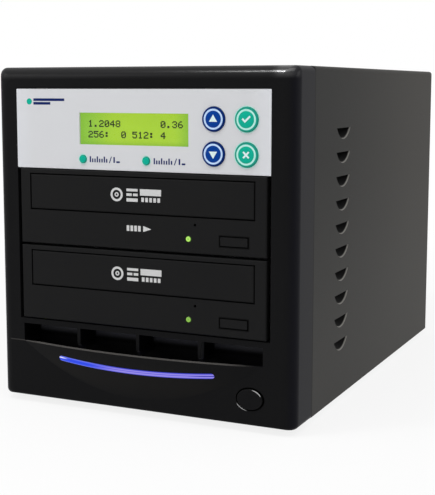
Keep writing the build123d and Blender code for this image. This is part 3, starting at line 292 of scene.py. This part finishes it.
def bezelPlastic():
    finish = Finish("case plastic", SpecularIORLevel=0.04, CoatRoughness=0.18)
    x, y, z = finish.x, finish.y, finish.z
    front = lowOf("control_panel").y
    side, back, top = highOf("front_bezel")
    fine = finish.noise(2600.0, 2.0)
    tone = finish.blend(finish.noise(26.0, 2.0), srgb(17, 17, 18), srgb(20, 20, 21))
    # painted reflection: the side of the bezel is given a bluer tone
    cheekPaintedReflection = finish.soft(abs(x), side - 5.6, side - 1.1)
    tone = finish.blend(cheekPaintedReflection, tone, srgb(16, 16, 21))
    # painted sheen: the chin under the light bar is made lighter
    paintedSheen = finish.within(z, 14.0, 30.0, 9.0) * finish.within(x, -66.0, 46.0, 20.0)
    paintedSheen = paintedSheen * (1 - finish.soft(y, front - 0.5, front - 0.1))
    tone = finish.blend(paintedSheen * 0.8, tone, srgb(26, 25, 24))
    # painted shade in the air slots: their walls are painted black where shade falls; the wall behind them
    # is greyer towards the top, partly its own grey and partly painted light
    inSlot = finish.within(z, slots["low"] + 0.2, slots["high"] - 0.1, 0.1)
    inSlot = inSlot * (y > front + 0.3) * (abs(x) < slots["halfRow"])
    tone = finish.blend(inSlot, tone, srgb(7, 7, 7))
    wall = front + slots["depth"]
    backWallGreyAndLight = inSlot * finish.soft(y, wall - 1.7, wall - 0.2)
    backWallGreyAndLight = backWallGreyAndLight * finish.soft(z, slots["low"] + 1.5, slots["low"] + 5.0)
    tone = finish.blend(backWallGreyAndLight, tone, srgb(74, 74, 78))
    # painted highlight on the front of each rib between the slots
    for place in slots["ribs"]:
        ribFrontHighlight = (abs(x - place) < slots["halfRib"]) * (y < front + 3.8) * inSlot
        tone = finish.blend(ribFrontHighlight, tone, srgb(52, 52, 52))
    # the shelf of the chin catches the light from above
    shelf = finish.within(z, slots["low"] - 0.35, slots["low"] + 0.3, 0.1)
    shelf = shelf * (1 - finish.soft(y, front - 0.3, front + 0.2))
    tone = finish.blend(shelf * (1 - finish.soft(x, 48.0, 70.0)), tone, srgb(84, 82, 80))
    # round the power button: painted shadow in the ring of the gap, and a painted highlight in an arc on the
    # edge above it and below it
    middle = middleOf("power_button")
    across = (x - middle.x) / powerRing["half"][0]
    upward = (z - middle.z) / powerRing["half"][1]
    radius = (across * across + upward * upward) ** 0.5
    lightX, lightZ = powerRing["towardsLight"]
    facing = (across * lightX + upward * lightZ) / radius
    ring = finish.within(radius, 0.93, 1.07, 0.015)
    tone = finish.blend(ring, tone, srgb(3, 3, 3))
    upper = finish.within(radius, 0.86, 0.915, 0.012) * finish.soft(facing, 0.86, 0.97)
    lower = finish.within(radius, 1.085, 1.135, 0.012) * (1 - finish.soft(facing, -0.98, -0.88))
    tone = finish.blend(upper + lower, tone, srgb(190, 190, 190))
    # painted shadow: a dark band at the back edge of the bezel, where it meets the cover
    seamShadow = finish.soft(y, back - 1.0, back - 0.5)
    tone = finish.blend(seamShadow, tone, srgb(5, 5, 5))
    nose = finish.soft(z, top - 6.9, top - 3.9) * (1 - finish.soft(y, front + 3.3, front + 7.3))
    corner = finish.within(x, side - 11.6, side - 2.6, 3.0)
    finish.put(BaseColor=tone, Roughness=0.34 + 0.1 * fine, CoatWeight=nose * (0.2 + 0.8 * corner))
    finish.bump(fine, 0.012, 0.6)
    return finish


def drivePlastic():
    # painted shadow: a dark line is painted where a tray front or an eject button meets its opening
    finish = Finish("drive plastic", SpecularIORLevel=0.06)
    fine = finish.noise(2200.0, 2.0)
    tone = finish.blend(finish.noise(26.0, 2.0), srgb(23, 23, 24), srgb(26, 26, 26))
    lip = Vector((0.7, 0, 0.7))
    for drive in ("upper_drive_", "lower_drive_"):
        tray = finish.outline(lowOf(drive + "tray_front"), highOf(drive + "tray_front"), 0.5)
        name = drive + "eject_button"
        key = finish.outline(lowOf(name) + lip, highOf(name) - lip, 0.7)
        tone = finish.blend(tray * 0.85, tone, srgb(4, 4, 4))
        tone = finish.blend(key * 0.95, tone, srgb(3, 3, 3))
    finish.put(BaseColor=tone, Roughness=0.54 + 0.12 * fine)
    finish.bump(fine, 0.012, 0.6)
    return finish


def paintedSteel():
    finish = Finish("cover paint", SpecularIORLevel=0.04)
    fine = finish.noise(1700.0, 2.5)
    broad = finish.noise(9.0, 2.0)
    # painted light: the cover is made lighter towards the back
    back = finish.soft(finish.y, -110.0, 150.0)
    coverFront = lowOf("steel_cover").y
    side, rear, top = highOf("steel_cover")
    deep = side - abs(finish.x)
    tone = finish.blend(back, srgb(45, 45, 44), srgb(64, 62, 59))
    # painted light: the cover is made lighter towards the bottom
    low = 1 - finish.soft(finish.z, 0.0, 150.0)
    tone = finish.blend(low * 0.5, tone, srgb(72, 71, 69))
    tone = finish.blend(broad * 0.3, tone, srgb(60, 59, 57))
    # the louvres: a painted highlight on the pressed edge, then painted shade within the pressing
    rim = finish.within(deep, 0.12, 0.8, 0.06)
    louvreShade = finish.soft(deep, 0.8, 1.2)
    # painted shadow: a dark band along the front edge of the cover, at the seam
    seamShadow = 1 - finish.soft(finish.y - coverFront, 1.1, 1.7)
    # only the sides have louvres, not the top or the flange at the back
    onSide = (finish.z < top - 3.0) * (finish.y < rear - 1.2)
    tone = finish.blend(rim * onSide, tone, srgb(128, 126, 122))
    tone = finish.blend(louvreShade * onSide, tone, srgb(9, 9, 9))
    tone = finish.blend(seamShadow, tone, srgb(6, 6, 6))
    finish.put(BaseColor=tone, Roughness=0.46 + 0.12 * fine)
    finish.bump(fine, 0.02, 0.7)
    return finish


def zincSteel():
    finish = Finish("zinc plate", Metallic=1.0)
    spangle = finish.node("ShaderNodeTexVoronoi", None, {"Vector": finish.place, "Scale": 180.0},
                          output="Distance")
    broad = finish.noise(40.0, 3.0)
    tone = finish.blend(spangle, srgb(186, 187, 188), srgb(164, 166, 169))
    finish.put(BaseColor=finish.blend(broad, tone, srgb(172, 173, 174)), Roughness=0.34 + 0.16 * spangle)
    finish.bump(broad, 0.02, 0.4)
    return finish


def circuitBoard(name, parts, colour):
    # parts is a mask, made by the caller, of what stands on the board
    finish = Finish(name, SpecularIORLevel=0.4)
    lines = finish.node("ShaderNodeTexWave", {"wave_type": "BANDS", "bands_direction": "X"},
                        {"Vector": finish.place, "Scale": 160.0, "Distortion": 6.0, "Detail": 1.0})
    trace = finish.soft(lines, 0.62, 0.7)
    tone = finish.blend(trace, srgb(16, 70, 40), srgb(30, 94, 52))
    mask = parts(finish)
    finish.put(BaseColor=finish.blend(mask, tone, colour), Roughness=0.3 + 0.15 * trace)
    finish.bump(trace * (1 - mask), 0.03, 0.5)
    return finish


def displayGlow():
    # a backlit display: its own colour mostly glows, and is greener towards both ends
    finish = Finish("display backlight", Roughness=0.4, EmissionStrength=0.8, SpecularIORLevel=0.05)
    middle = middleOf("display_window")
    x = finish.x - middle.x
    z = finish.z - middle.z
    cloud = finish.noise(55.0, 2.0)
    tone = finish.blend(cloud, srgb(168, 212, 44), srgb(178, 220, 52))
    left = 1 - finish.soft(x, -33.0, -10.0)
    right = finish.soft(x, 22.0, 35.0)
    tone = finish.blend(left * 0.8, tone, srgb(134, 198, 60))
    tone = finish.blend(right * 0.8, tone, srgb(124, 188, 56))
    low = 1 - finish.soft(z, -9.0, -5.5)
    tone = finish.blend(low * 0.35, tone, srgb(110, 172, 60))
    finish.put(BaseColor=finish.blend(0.86, tone, srgb(0, 0, 0)), EmissionColor=tone)
    return finish


bar = {"halfLength": 46.1, "rise": 2.1, "middle": lowOf("light_bar").z + 3.5}


def lightBarGlow():
    # two pale bands with a fine blue line between them; the left third stays deep blue
    finish = Finish("light bar glow", Roughness=0.3, EmissionStrength=1.0, SpecularIORLevel=0.3)
    low, high = lowOf("light_bar"), highOf("light_bar")
    half = bar["halfLength"]
    x = finish.x - (low.x + high.x) / 2
    sag = x * x * (bar["rise"] / half ** 2)
    across = finish.z - (bar["middle"] + sag)
    edge = finish.soft(abs(across), 0.75, 1.3)
    line = 1 - finish.soft(abs(across - 0.1), 0.08, 0.34)
    along = finish.soft(x, -30.0, -6.0)
    start = 1 - finish.soft(x, -46.0, -41.0)
    heart = finish.blend(along, srgb(4, 62, 228), srgb(146, 134, 224))
    rim = finish.blend(along, srgb(96, 108, 226), srgb(62, 66, 200))
    middle = finish.blend(along, srgb(0, 44, 206), srgb(82, 76, 206))
    tone = finish.blend(line, heart, middle)
    tone = finish.blend(edge, tone, rim)
    dark = finish.soft(x, 30.0, 42.0) * (1 - finish.soft(abs(across), 0.1, 0.45))
    tone = finish.blend(dark, tone, srgb(24, 22, 150))
    # a painted highlight: a white speck near the left tip
    speckHighlight = start * (1 - finish.soft(abs(across - 0.55), 0.15, 0.45))
    tone = finish.blend(speckHighlight, tone, srgb(240, 240, 255))
    finish.put(BaseColor=srgb(16, 20, 70), EmissionColor=tone)
    return finish


def ledGlow():
    # a bright ring round a darker heart; the lower light burns a little dimmer
    finish = Finish("activity light", Roughness=0.25, EmissionStrength=1.0, SpecularIORLevel=0.4)
    low, high = middleOf("lower_drive_light_pipe"), middleOf("upper_drive_light_pipe")
    between = (low.z + high.z) / 2
    upper = finish.z > between
    middle = upper * high.z + (1 - upper) * low.z
    radius = ((finish.x - low.x) ** 2 + (finish.z - middle) ** 2) ** 0.5
    core = 1 - finish.soft(radius, 0.15, 0.55)
    rim = finish.soft(radius, 1.15, 1.5)
    tone = finish.blend(core, srgb(176, 232, 96), srgb(92, 166, 34))
    tone = finish.blend(rim, tone, srgb(48, 84, 14))
    dimmer = finish.blend(core, srgb(132, 184, 66), srgb(96, 150, 48))
    dimmer = finish.blend(rim, dimmer, srgb(40, 66, 14))
    finish.put(BaseColor=srgb(30, 52, 12), EmissionColor=finish.blend(upper, dimmer, tone))
    return finish


def flatFinish(name, colour, rough=0.5, level=0.3, **sockets):
    finish = Finish(name, SpecularIORLevel=level, **sockets)
    fine = finish.noise(900.0, 2.0)
    finish.put(BaseColor=finish.blend(fine, tuple(v * 0.94 for v in colour), colour),
               Roughness=rough + 0.08 * fine)
    finish.bump(fine, 0.01, 0.5)
    return finish


def panelFilm():
    finish = Finish("panel film", SpecularIORLevel=0.2)
    fine = finish.noise(1500.0, 2.0)
    edge = finish.soft(abs(finish.x), 64.0, 76.0)
    tone = finish.blend(edge * 0.6, srgb(209, 210, 213), srgb(216, 218, 223))
    finish.put(BaseColor=tone, Roughness=0.5 + 0.1 * fine)
    finish.bump(fine, 0.008, 0.5)
    return finish


finishes = {
    "black_plastic": bezelPlastic(),
    "drive_plastic": drivePlastic(),
    "deck_plastic": mouldedPlastic("deck plastic", srgb(42, 42, 44), 0.5, 1500.0, 0.02, 0.3),
    "tray_plastic": mouldedPlastic("tray plastic", srgb(36, 36, 38), 0.48, 1800.0, 0.02, 0.25),
    "fan_plastic": mouldedPlastic("fan plastic", srgb(26, 26, 27), 0.45, 1500.0, 0.02, 0.3),
    "gear_white": mouldedPlastic("gear plastic", srgb(226, 222, 210), 0.35, 900.0, 0.01, 0.4, 0.03),
    "rubber": mouldedPlastic("foot rubber", srgb(30, 30, 30), 0.75, 1200.0, 0.05, 0.2, 0.15),
    "cover_paint": paintedSteel(),
    "zinc_steel": zincSteel(),
    "screw_steel": flatFinish("screw steel", srgb(184, 182, 176), 0.26, Metallic=1.0),
    "screw_black": flatFinish("black screw", srgb(38, 38, 40), 0.32, Metallic=0.8),
    "pin_metal": flatFinish("pin metal", srgb(200, 190, 160), 0.24, Metallic=1.0),
    "panel_white": panelFilm(),
    "clear_lens": flatFinish("clear window", (0.5, 0.5, 0.5), 0.06, 0.2, Alpha=0.03),
    "display_green": displayGlow(),
    "board_green": circuitBoard("solder mask", lambda f: 0.0 * f.x, srgb(24, 24, 26)),
    "key_blue": flatFinish("key navy", srgb(4, 40, 108), 0.4, 0.05),
    "key_teal": flatFinish("key green", srgb(22, 152, 132), 0.4, 0.08),
    "light_blue": lightBarGlow(),
    "led_green": ledGlow(),
    "cable_red": flatFinish("cable jacket", srgb(170, 26, 24), 0.4),
}
for node in nodes.values():
    for index, old in enumerate(node.data.materials):
        node.data.materials[index] = finishes[old.name.split(".")[0]].material

# what stands on each board has its own colour: above a level, or before or behind a plane
pastFace = 1.65
controllerLift, driveLift = 5.0, 2.0
chipBlack = srgb(26, 26, 28)
onBoards = {
    "controller_board": (lambda f: f.z > lowOf("controller_board").z + controllerLift + pastFace, chipBlack),
    "lower_drive_board": (lambda f: f.z > lowOf("lower_drive_board").z + driveLift + pastFace, chipBlack),
    "upper_drive_board": (lambda f: f.z > lowOf("upper_drive_board").z + driveLift + pastFace, chipBlack),
    "key_board": (lambda f: f.y < highOf("key_board").y - pastFace, srgb(60, 60, 62)),
    "light_board": (lambda f: f.y > lowOf("light_board").y + pastFace, srgb(222, 218, 204)),
    "display_module": (lambda f: f.y < highOf("display_module").y - pastFace, srgb(52, 52, 50)),
}
for boardName, (mask, colour) in onBoards.items():
    nodes[boardName].data.materials[0] = circuitBoard(boardName + " finish", mask, colour).material
print("finishes set on the frame:", len(finishes) + len(onBoards))

inks = {
    "white": flatFinish("white ink", srgb(206, 206, 206), 0.5, 0.1),
    "symbol": flatFinish("symbol ink", srgb(220, 240, 240), 0.5, 0.1),
    "navy": flatFinish("navy ink", srgb(20, 36, 96), 0.5, 0.05),
    "paleBlue": flatFinish("pale blue ink", srgb(192, 218, 250), 0.5, 0.1),
    "blue": flatFinish("blue ink", srgb(4, 60, 146), 0.42, 0.05),
    "paleMint": flatFinish("pale mint ink", srgb(186, 238, 226), 0.5, 0.1),
    "teal": flatFinish("teal ink", srgb(4, 172, 146), 0.42, 0.1),
    "olive": flatFinish("display dots", srgb(34, 52, 10), 0.6, 0.02),
}

# Small builders --------------------------------------------------------


def addPiece(name, shape, materials, body):
    # edges that turn by 30 degrees or more stay sharp
    mesh = bpy.data.meshes.new(name)
    bmesh.ops.remove_doubles(shape, verts=shape.verts, dist=1e-7)
    bmesh.ops.recalc_face_normals(shape, faces=shape.faces)
    for edge in shape.edges:
        edge.smooth = len(edge.link_faces) == 2 and edge.calc_face_angle(0.0) < math.radians(30)
    for face in shape.faces:
        face.smooth = True
    shape.to_mesh(mesh)
    shape.free()
    piece = bpy.data.objects.new(name, mesh)
    for material in materials:
        mesh.materials.append(material.material)
    bpy.context.scene.collection.objects.link(piece)
    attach(piece, body)
    return piece


def prism(shape, points, back, front):
    # a flat outline in X and Z, thickened towards the front
    rear = [shape.verts.new((x * mm, back * mm, z * mm)) for x, z in points]
    fore = [shape.verts.new((x * mm, front * mm, z * mm)) for x, z in points]
    shape.faces.new(rear)
    shape.faces.new(list(reversed(fore)))
    for i in range(len(points)):
        j = (i + 1) % len(points)
        shape.faces.new((rear[i], fore[i], fore[j], rear[j]))


def circle(x, z, radius, count):
    turns = [2 * math.pi * i / count for i in range(count)]
    return [(x + radius * math.cos(t), z + radius * math.sin(t)) for t in turns]


def vertLoop(shape, x, z, radius, y, count):
    return [shape.verts.new((px * mm, y * mm, pz * mm)) for px, pz in circle(x, z, radius, count)]


def flatRing(shape, x, z, outer, inner, back, front, count=48):
    corners = ((outer, back), (outer, front), (inner, front), (inner, back))
    loops = [vertLoop(shape, x, z, radius, y, count) for radius, y in corners]
    for k in range(4):
        one, two = loops[k], loops[(k + 1) % 4]
        for i in range(count):
            j = (i + 1) % count
            shape.faces.new((one[i], one[j], two[j], two[i]))


def turned(shape, x, z, profile, count=64):
    # profile: (radius, y, material index), from the axis outwards
    loops = []
    for radius, y, _ in profile:
        if radius == 0:
            loops.append([shape.verts.new((x * mm, y * mm, z * mm))] * count)
        else:
            loops.append(vertLoop(shape, x, z, radius, y, count))
    for k in range(len(profile) - 1):
        index = profile[k + 1][2]
        for i in range(count):
            j = (i + 1) % count
            corners = []
            for vert in (loops[k][i], loops[k][j], loops[k + 1][j], loops[k + 1][i]):
                if vert not in corners:
                    corners.append(vert)
            shape.faces.new(corners).material_index = index


# Keys --------------------------------------------------------------------

panelFace = lowOf("control_panel").y
roundKeys = {
    "key_up": {"colours": ("blue", "paleBlue"), "symbol": "up", "slot": "key_blue"},
    "key_down": {"colours": ("blue", "paleBlue"), "symbol": "down", "slot": "key_blue"},
    "key_enter": {"colours": ("teal", "paleMint"), "symbol": "tick", "slot": "key_teal"},
    "key_escape": {"colours": ("teal", "paleMint"), "symbol": "cross", "slot": "key_teal"},
}
haloFaces = (panelFace + 0.02, panelFace - 0.04)
keyCap = {"disc": 4.35, "ring": 5.3, "rise": 0.12, "sink": 0.05, "halo": (6.52, 6.95)}
symbolSize = {"arrow": (2.3, 1.3, 2.4), "stroke": 0.95}


def strokePoints(start, end, wide):
    sx, sz = start
    ex, ez = end
    length = math.hypot(ex - sx, ez - sz)
    nx, nz = -(ez - sz) / length * wide / 2, (ex - sx) / length * wide / 2
    return [(sx + nx, sz + nz), (ex + nx, ez + nz), (ex - nx, ez - nz), (sx - nx, sz - nz)]


def symbolOutlines(kind, x, z):
    wide, base, tip = symbolSize["arrow"]
    stroke = symbolSize["stroke"]
    if kind == "up":
        return [[(x - wide, z - base), (x + wide, z - base), (x, z + tip)]]
    if kind == "down":
        return [[(x - wide, z + base), (x, z - tip), (x + wide, z + base)]]
    if kind == "tick":
        return [[(x - 2.4, z + 0.1), (x - 1.7, z + 0.8), (x - 0.7, z - 0.3), (x + 1.9, z + 2.0),
                 (x + 2.5, z + 1.3), (x - 0.7, z - 1.7)]]
    reach, step = 1.9, stroke * 0.7
    return [[(x - reach, z - reach + step), (x - reach + step, z - reach), (x, z - step),
             (x + reach - step, z - reach), (x + reach, z - reach + step), (x + step, z),
             (x + reach, z + reach - step), (x + reach - step, z + reach), (x, z + step),
             (x - reach + step, z + reach), (x - reach, z + reach - step), (x - step, z)]]


def makeRoundKey(name, colours, symbol, slot):
    middle = middleOf(name)
    face = lowOf(name).y
    top = face - keyCap["rise"]
    disc, ring = keyCap["disc"], keyCap["ring"]
    low = face + keyCap["sink"]
    shape = bmesh.new()
    turned(shape, middle.x, middle.z, [
        (0, top - 0.02, 0), (disc * 0.6, top - 0.01, 0), (disc - 0.12, top + 0.02, 0),
        (disc, top + 0.07, 0), (disc + 0.05, top + 0.07, 1), (ring, top + 0.08, 1),
        (ring + 0.06, low, 1), (0, low, 1),
    ])
    addPiece(name + "_cap", shape, [inks[colours[0]], inks[colours[1]]], name)
    shape = bmesh.new()
    for outline in symbolOutlines(symbol, middle.x, middle.z):
        prism(shape, outline, top + 0.01, top - 0.07)
    addPiece(name + "_symbol", shape, [inks["symbol"]], name)
    if slot == "key_teal":
        shape = bmesh.new()
        inner, outer = keyCap["halo"]
        flatRing(shape, middle.x, middle.z, outer, inner, *haloFaces, count=64)
        addPiece(name + "_halo", shape, [inks["paleMint"]], "case")


for keyName, key in roundKeys.items():
    makeRoundKey(keyName, **key)

smallKey = {"radius": 2.0, "halo": (2.36, 2.8)}


def makeSmallKey(name):
    middle = middleOf(name)
    face = lowOf(name).y
    rim = smallKey["radius"]
    shape = bmesh.new()
    turned(shape, middle.x, middle.z, [
        (0, face - 0.1, 0), (rim * 0.6, face - 0.08, 0), (rim - 0.15, face - 0.02, 0),
        (rim, face + 0.1, 0), (0, face + 0.1, 0),
    ], 48)
    addPiece(name + "_cap", shape, [inks["teal"]], name)
    shape = bmesh.new()
    inner, outer = smallKey["halo"]
    flatRing(shape, middle.x, middle.z, outer, inner, *haloFaces)
    addPiece(name + "_halo", shape, [inks["paleMint"]], "case")


for keyName in ("key_speed", "key_source"):
    makeSmallKey(keyName)
print("keys made")

# Display characters ------------------------------------------------------

digits = {
    "0": "01110 10001 10011 10101 11001 10001 01110",
    "1": "00100 01100 00100 00100 00100 00100 01110",
    "2": "01110 10001 00001 00110 01000 10000 11111",
    "3": "01110 10001 00001 00110 00001 10001 01110",
    "4": "00010 00110 01010 10010 11111 00010 00010",
    "5": "11111 10000 11110 00001 00001 10001 01110",
    "6": "00110 01000 10000 11110 10001 10001 01110",
    "8": "01110 10001 10001 01110 10001 10001 01110",
    ".": "00000 00000 00000 00000 00000 01100 01100",
    ":": "00000 01100 01100 00000 01100 01100 00000",
    " ": "00000 00000 00000 00000 00000 00000 00000",
}
display = {"rows": ("1.2048       0.36", "256:  0 512: 4"), "fromLeft": 6.2, "down": (6.1, 11.9),
           "pitch": 3.39, "dot": (0.55, 0.5), "overlap": 0.08, "thick": 0.06}


def makeCharacters():
    shape = bmesh.new()
    wide, tall = display["dot"]
    grow = display["overlap"]
    face = lowOf("display_screen").y
    start = lowOf("display_window").x + display["fromLeft"]
    rim = highOf("display_window").z
    for line, down in zip(display["rows"], display["down"]):
        for column, letter in enumerate(line):
            left = start + column * display["pitch"]
            for row, bits in enumerate(digits[letter].split()):
                for spot, bit in enumerate(bits):
                    if bit == "0":
                        continue
                    x = left + spot * wide
                    z = rim - down - row * tall
                    prism(shape, [(x - grow, z + grow), (x + wide + grow, z + grow),
                                  (x + wide + grow, z - tall - grow), (x - grow, z - tall - grow)],
                          face + 0.01, face - display["thick"])
    addPiece("display_characters", shape, [inks["olive"]], "case")


makeCharacters()

# Printed marks -----------------------------------------------------------

printed = 0.05


def block(shape, left, right, low, high, face):
    corners = [(left, low), (right, low), (right, high), (left, high)]
    prism(shape, corners, face + 0.01, face - printed)


def trayMark(side):
    # a plain ring with a dot, and a block of bars beside it
    face = lowOf(side + "_drive_tray_front").y
    z = middleOf(side + "_drive_tray_front").z + 0.1
    shape = bmesh.new()
    flatRing(shape, -12.6, z + 0.2, 3.7, 2.5, face + 0.01, face - printed)
    flatRing(shape, -12.6, z + 0.2, 1.25, 0.55, face + 0.01, face - printed, count=24)
    block(shape, -6.6, 0.2, z + 2.2, z + 3.6, face)
    block(shape, -6.6, -3.4, z - 0.3, z + 1.1, face)
    block(shape, -2.6, 0.2, z - 0.3, z + 1.1, face)
    block(shape, -6.6, 0.2, z - 3.3, z - 1.5, face)
    block(shape, 1.6, 14.2, z + 0.2, z + 3.6, face)
    for i in range(5):
        block(shape, 2.4 + i * 2.4, 4.0 + i * 2.4, z - 3.2, z - 0.9, face)
    addPiece(side + "_tray_mark", shape, [inks["white"]], side + "_tray")


trayMark("upper")
trayMark("lower")


def faceplateMark():
    face = lowOf("upper_drive_faceplate").y
    z = lowOf("upper_drive_faceplate").z + 11.35
    shape = bmesh.new()
    for i in range(4):
        block(shape, -6.6 + i * 2.3, -5.0 + i * 2.3, z - 1.5, z + 1.5, face)
    prism(shape, [(3.4, z - 1.6), (8.2, z), (3.4, z + 1.6)], face + 0.01, face - printed)
    addPiece("upper_drive_mark", shape, [inks["white"]], "case")


faceplateMark()

emblem = {"left": -69.4, "right": -45.0, "z": 170.7}
scales = {"starts": (-29.4, 9.6), "ticks": 8, "pitch": 1.45, "wide": 0.8}


def panelPrints():
    # navy tick scales stand beside the small keys
    shape = bmesh.new()
    z = middleOf("key_speed").z - 0.1
    for left in scales["starts"]:
        for i in range(scales["ticks"]):
            tall = 3.2 if i % 3 == 0 else 2.0
            start = left + i * scales["pitch"]
            block(shape, start, start + scales["wide"], z - 1.5, z - 1.5 + tall, panelFace)
        end = left + scales["ticks"] * scales["pitch"]
        prism(shape, strokePoints((end + 0.6, z - 1.7), (end + 1.9, z + 1.8), 0.5),
              panelFace + 0.01, panelFace - printed)
        block(shape, end + 3.1, end + 4.0, z - 1.5, z + 1.6, panelFace)
        block(shape, end + 4.9, end + 7.0, z - 1.5, z - 0.6, panelFace)
    addPiece("panel_scales", shape, [inks["navy"]], "case")
    # a spot and two plain rules stand in the upper left corner
    shape = bmesh.new()
    rule = emblem["z"]
    block(shape, emblem["left"] + 4.4, emblem["right"], rule + 0.3, rule + 1.7, panelFace)
    block(shape, emblem["left"] + 4.4, emblem["right"] - 9.0, rule - 1.7, rule - 0.3, panelFace)
    spot, fore, rear = 1.7, panelFace - printed, panelFace + 0.01
    profile = [(0, fore, 1), (spot, fore, 1), (spot, rear, 1), (0, rear, 1)]
    turned(shape, emblem["left"] + spot, rule, profile, 40)
    addPiece("panel_rules", shape, [inks["navy"], inks["teal"]], "case")


panelPrints()
print("prints made")

# Screws ------------------------------------------------------------------

recess = {"reach": 0.62, "arm": 0.2, "deep": 0.5, "taper": 0.5, "sides": 32}


def crossPoints(reach, arm):
    return [(reach, -arm), (reach, arm), (arm, arm), (arm, reach), (-arm, reach), (-arm, arm),
            (-reach, arm), (-reach, -arm), (-arm, -arm), (-arm, -reach), (arm, -reach), (arm, -arm)]


def panScrew(shape, place, axis, radius, head, tall, length):
    # head outwards along the axis, from its seat at place; sizes in metres
    turn = Vector((0, 0, 1)).rotation_difference(axis).to_matrix()
    sides = recess["sides"]

    def ring(size, rise):
        return [shape.verts.new(place + turn @ Vector((x, z, rise))) for x, z in circle(0, 0, size, sides)]

    profile = [(radius * 0.6, -length), (radius, -length + radius * 0.5)]
    turns = 6
    for i in range(turns):
        rise = -length + radius * 0.5 + (length - radius * 0.6) * (i + 0.5) / turns
        profile += [(radius * 0.86, rise), (radius, rise + length * 0.05)]
    profile += [(radius, 0), (head * 0.97, 0), (head, tall * 0.12), (head * 0.95, tall * 0.55),
                (head * 0.82, tall * 0.84), (head * 0.68, tall)]
    loops = [ring(*point) for point in profile]
    for one, two in zip(loops, loops[1:]):
        for i in range(sides):
            shape.faces.new((one[i], one[(i + 1) % sides], two[(i + 1) % sides], two[i]))
    shape.faces.new(list(reversed(loops[0])))
    reach, arm = head * recess["reach"], head * recess["arm"] * 0.5
    top = [shape.verts.new(place + turn @ Vector((x, z, tall))) for x, z in crossPoints(reach, arm)]
    deep = tall * (1 - recess["deep"])
    floor = [shape.verts.new(place + turn @ Vector((x, z, deep)))
             for x, z in crossPoints(reach * recess["taper"], arm * 0.7)]
    count = len(top)
    rim = [shape.edges.new((top[i], top[(i + 1) % count])) for i in range(count)]
    last = loops[-1]
    rim += [shape.edges.get((last[i], last[(i + 1) % sides])) for i in range(sides)]
    bmesh.ops.triangle_fill(shape, edges=rim, use_beauty=True)
    for i in range(count):
        shape.faces.new((top[i], top[(i + 1) % count], floor[(i + 1) % count], floor[i]))
    shape.faces.new(floor)


def looseParts(mesh):
    # the separate solids of a mesh, each as its list of points
    neighbours = [[] for _ in mesh.vertices]
    for edge in mesh.edges:
        a, b = edge.vertices
        neighbours[a].append(b)
        neighbours[b].append(a)
    seen = set()
    for first in range(len(neighbours)):
        if first in seen:
            continue
        group, queue = [], [first]
        seen.add(first)
        while queue:
            here = queue.pop()
            group.append(mesh.vertices[here].co)
            for near in neighbours[here]:
                if near not in seen:
                    seen.add(near)
                    queue.append(near)
        yield group


def weldedMesh(node):
    shape = bmesh.new()
    shape.from_mesh(node.data)
    bmesh.ops.remove_doubles(shape, verts=shape.verts, dist=1e-6)
    mesh = bpy.data.meshes.new("welded")
    shape.to_mesh(mesh)
    shape.free()
    return mesh


def screwFrom(points, along):
    # reads one screw's seat, axis and sizes from the points of its solid
    low = Vector([min(p[i] for p in points) for i in range(3)])
    high = Vector([max(p[i] for p in points) for i in range(3)])
    middle = (low + high) / 2
    others = [i for i in range(3) if i != along]

    def offset(p):
        return math.hypot(*(p[i] - middle[i] for i in others))

    head = max(offset(p) for p in points)
    wide = [p[along] for p in points if offset(p) > head * 0.97]
    narrow = [offset(p) for p in points if p[along] < min(wide) - 1e-5 or p[along] > max(wide) + 1e-5]
    outwards = 1 if sum(wide) / len(wide) > middle[along] else -1
    place = middle.copy()
    place[along] = min(wide) if outwards > 0 else max(wide)
    axis = Vector((0, 0, 0))
    axis[along] = outwards
    length = (high[along] - low[along]) - (max(wide) - min(wide))
    return place, axis, max(narrow), head, max(wide) - min(wide), length


def makeScrews(name, material):
    shape = bmesh.new()
    count = 0
    for points in looseParts(weldedMesh(nodes[name])):
        spans = [max(p[i] for p in points) - min(p[i] for p in points) for i in range(3)]
        panScrew(shape, *screwFrom(points, spans.index(max(spans))))
        count += 1
    piece = addPiece(name + "_turned", shape, [finishes[material]], "case")
    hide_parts(name)
    print(name, "made:", count)


makeScrews("case_screws", "screw_steel")
makeScrews("fan_screws", "screw_black")
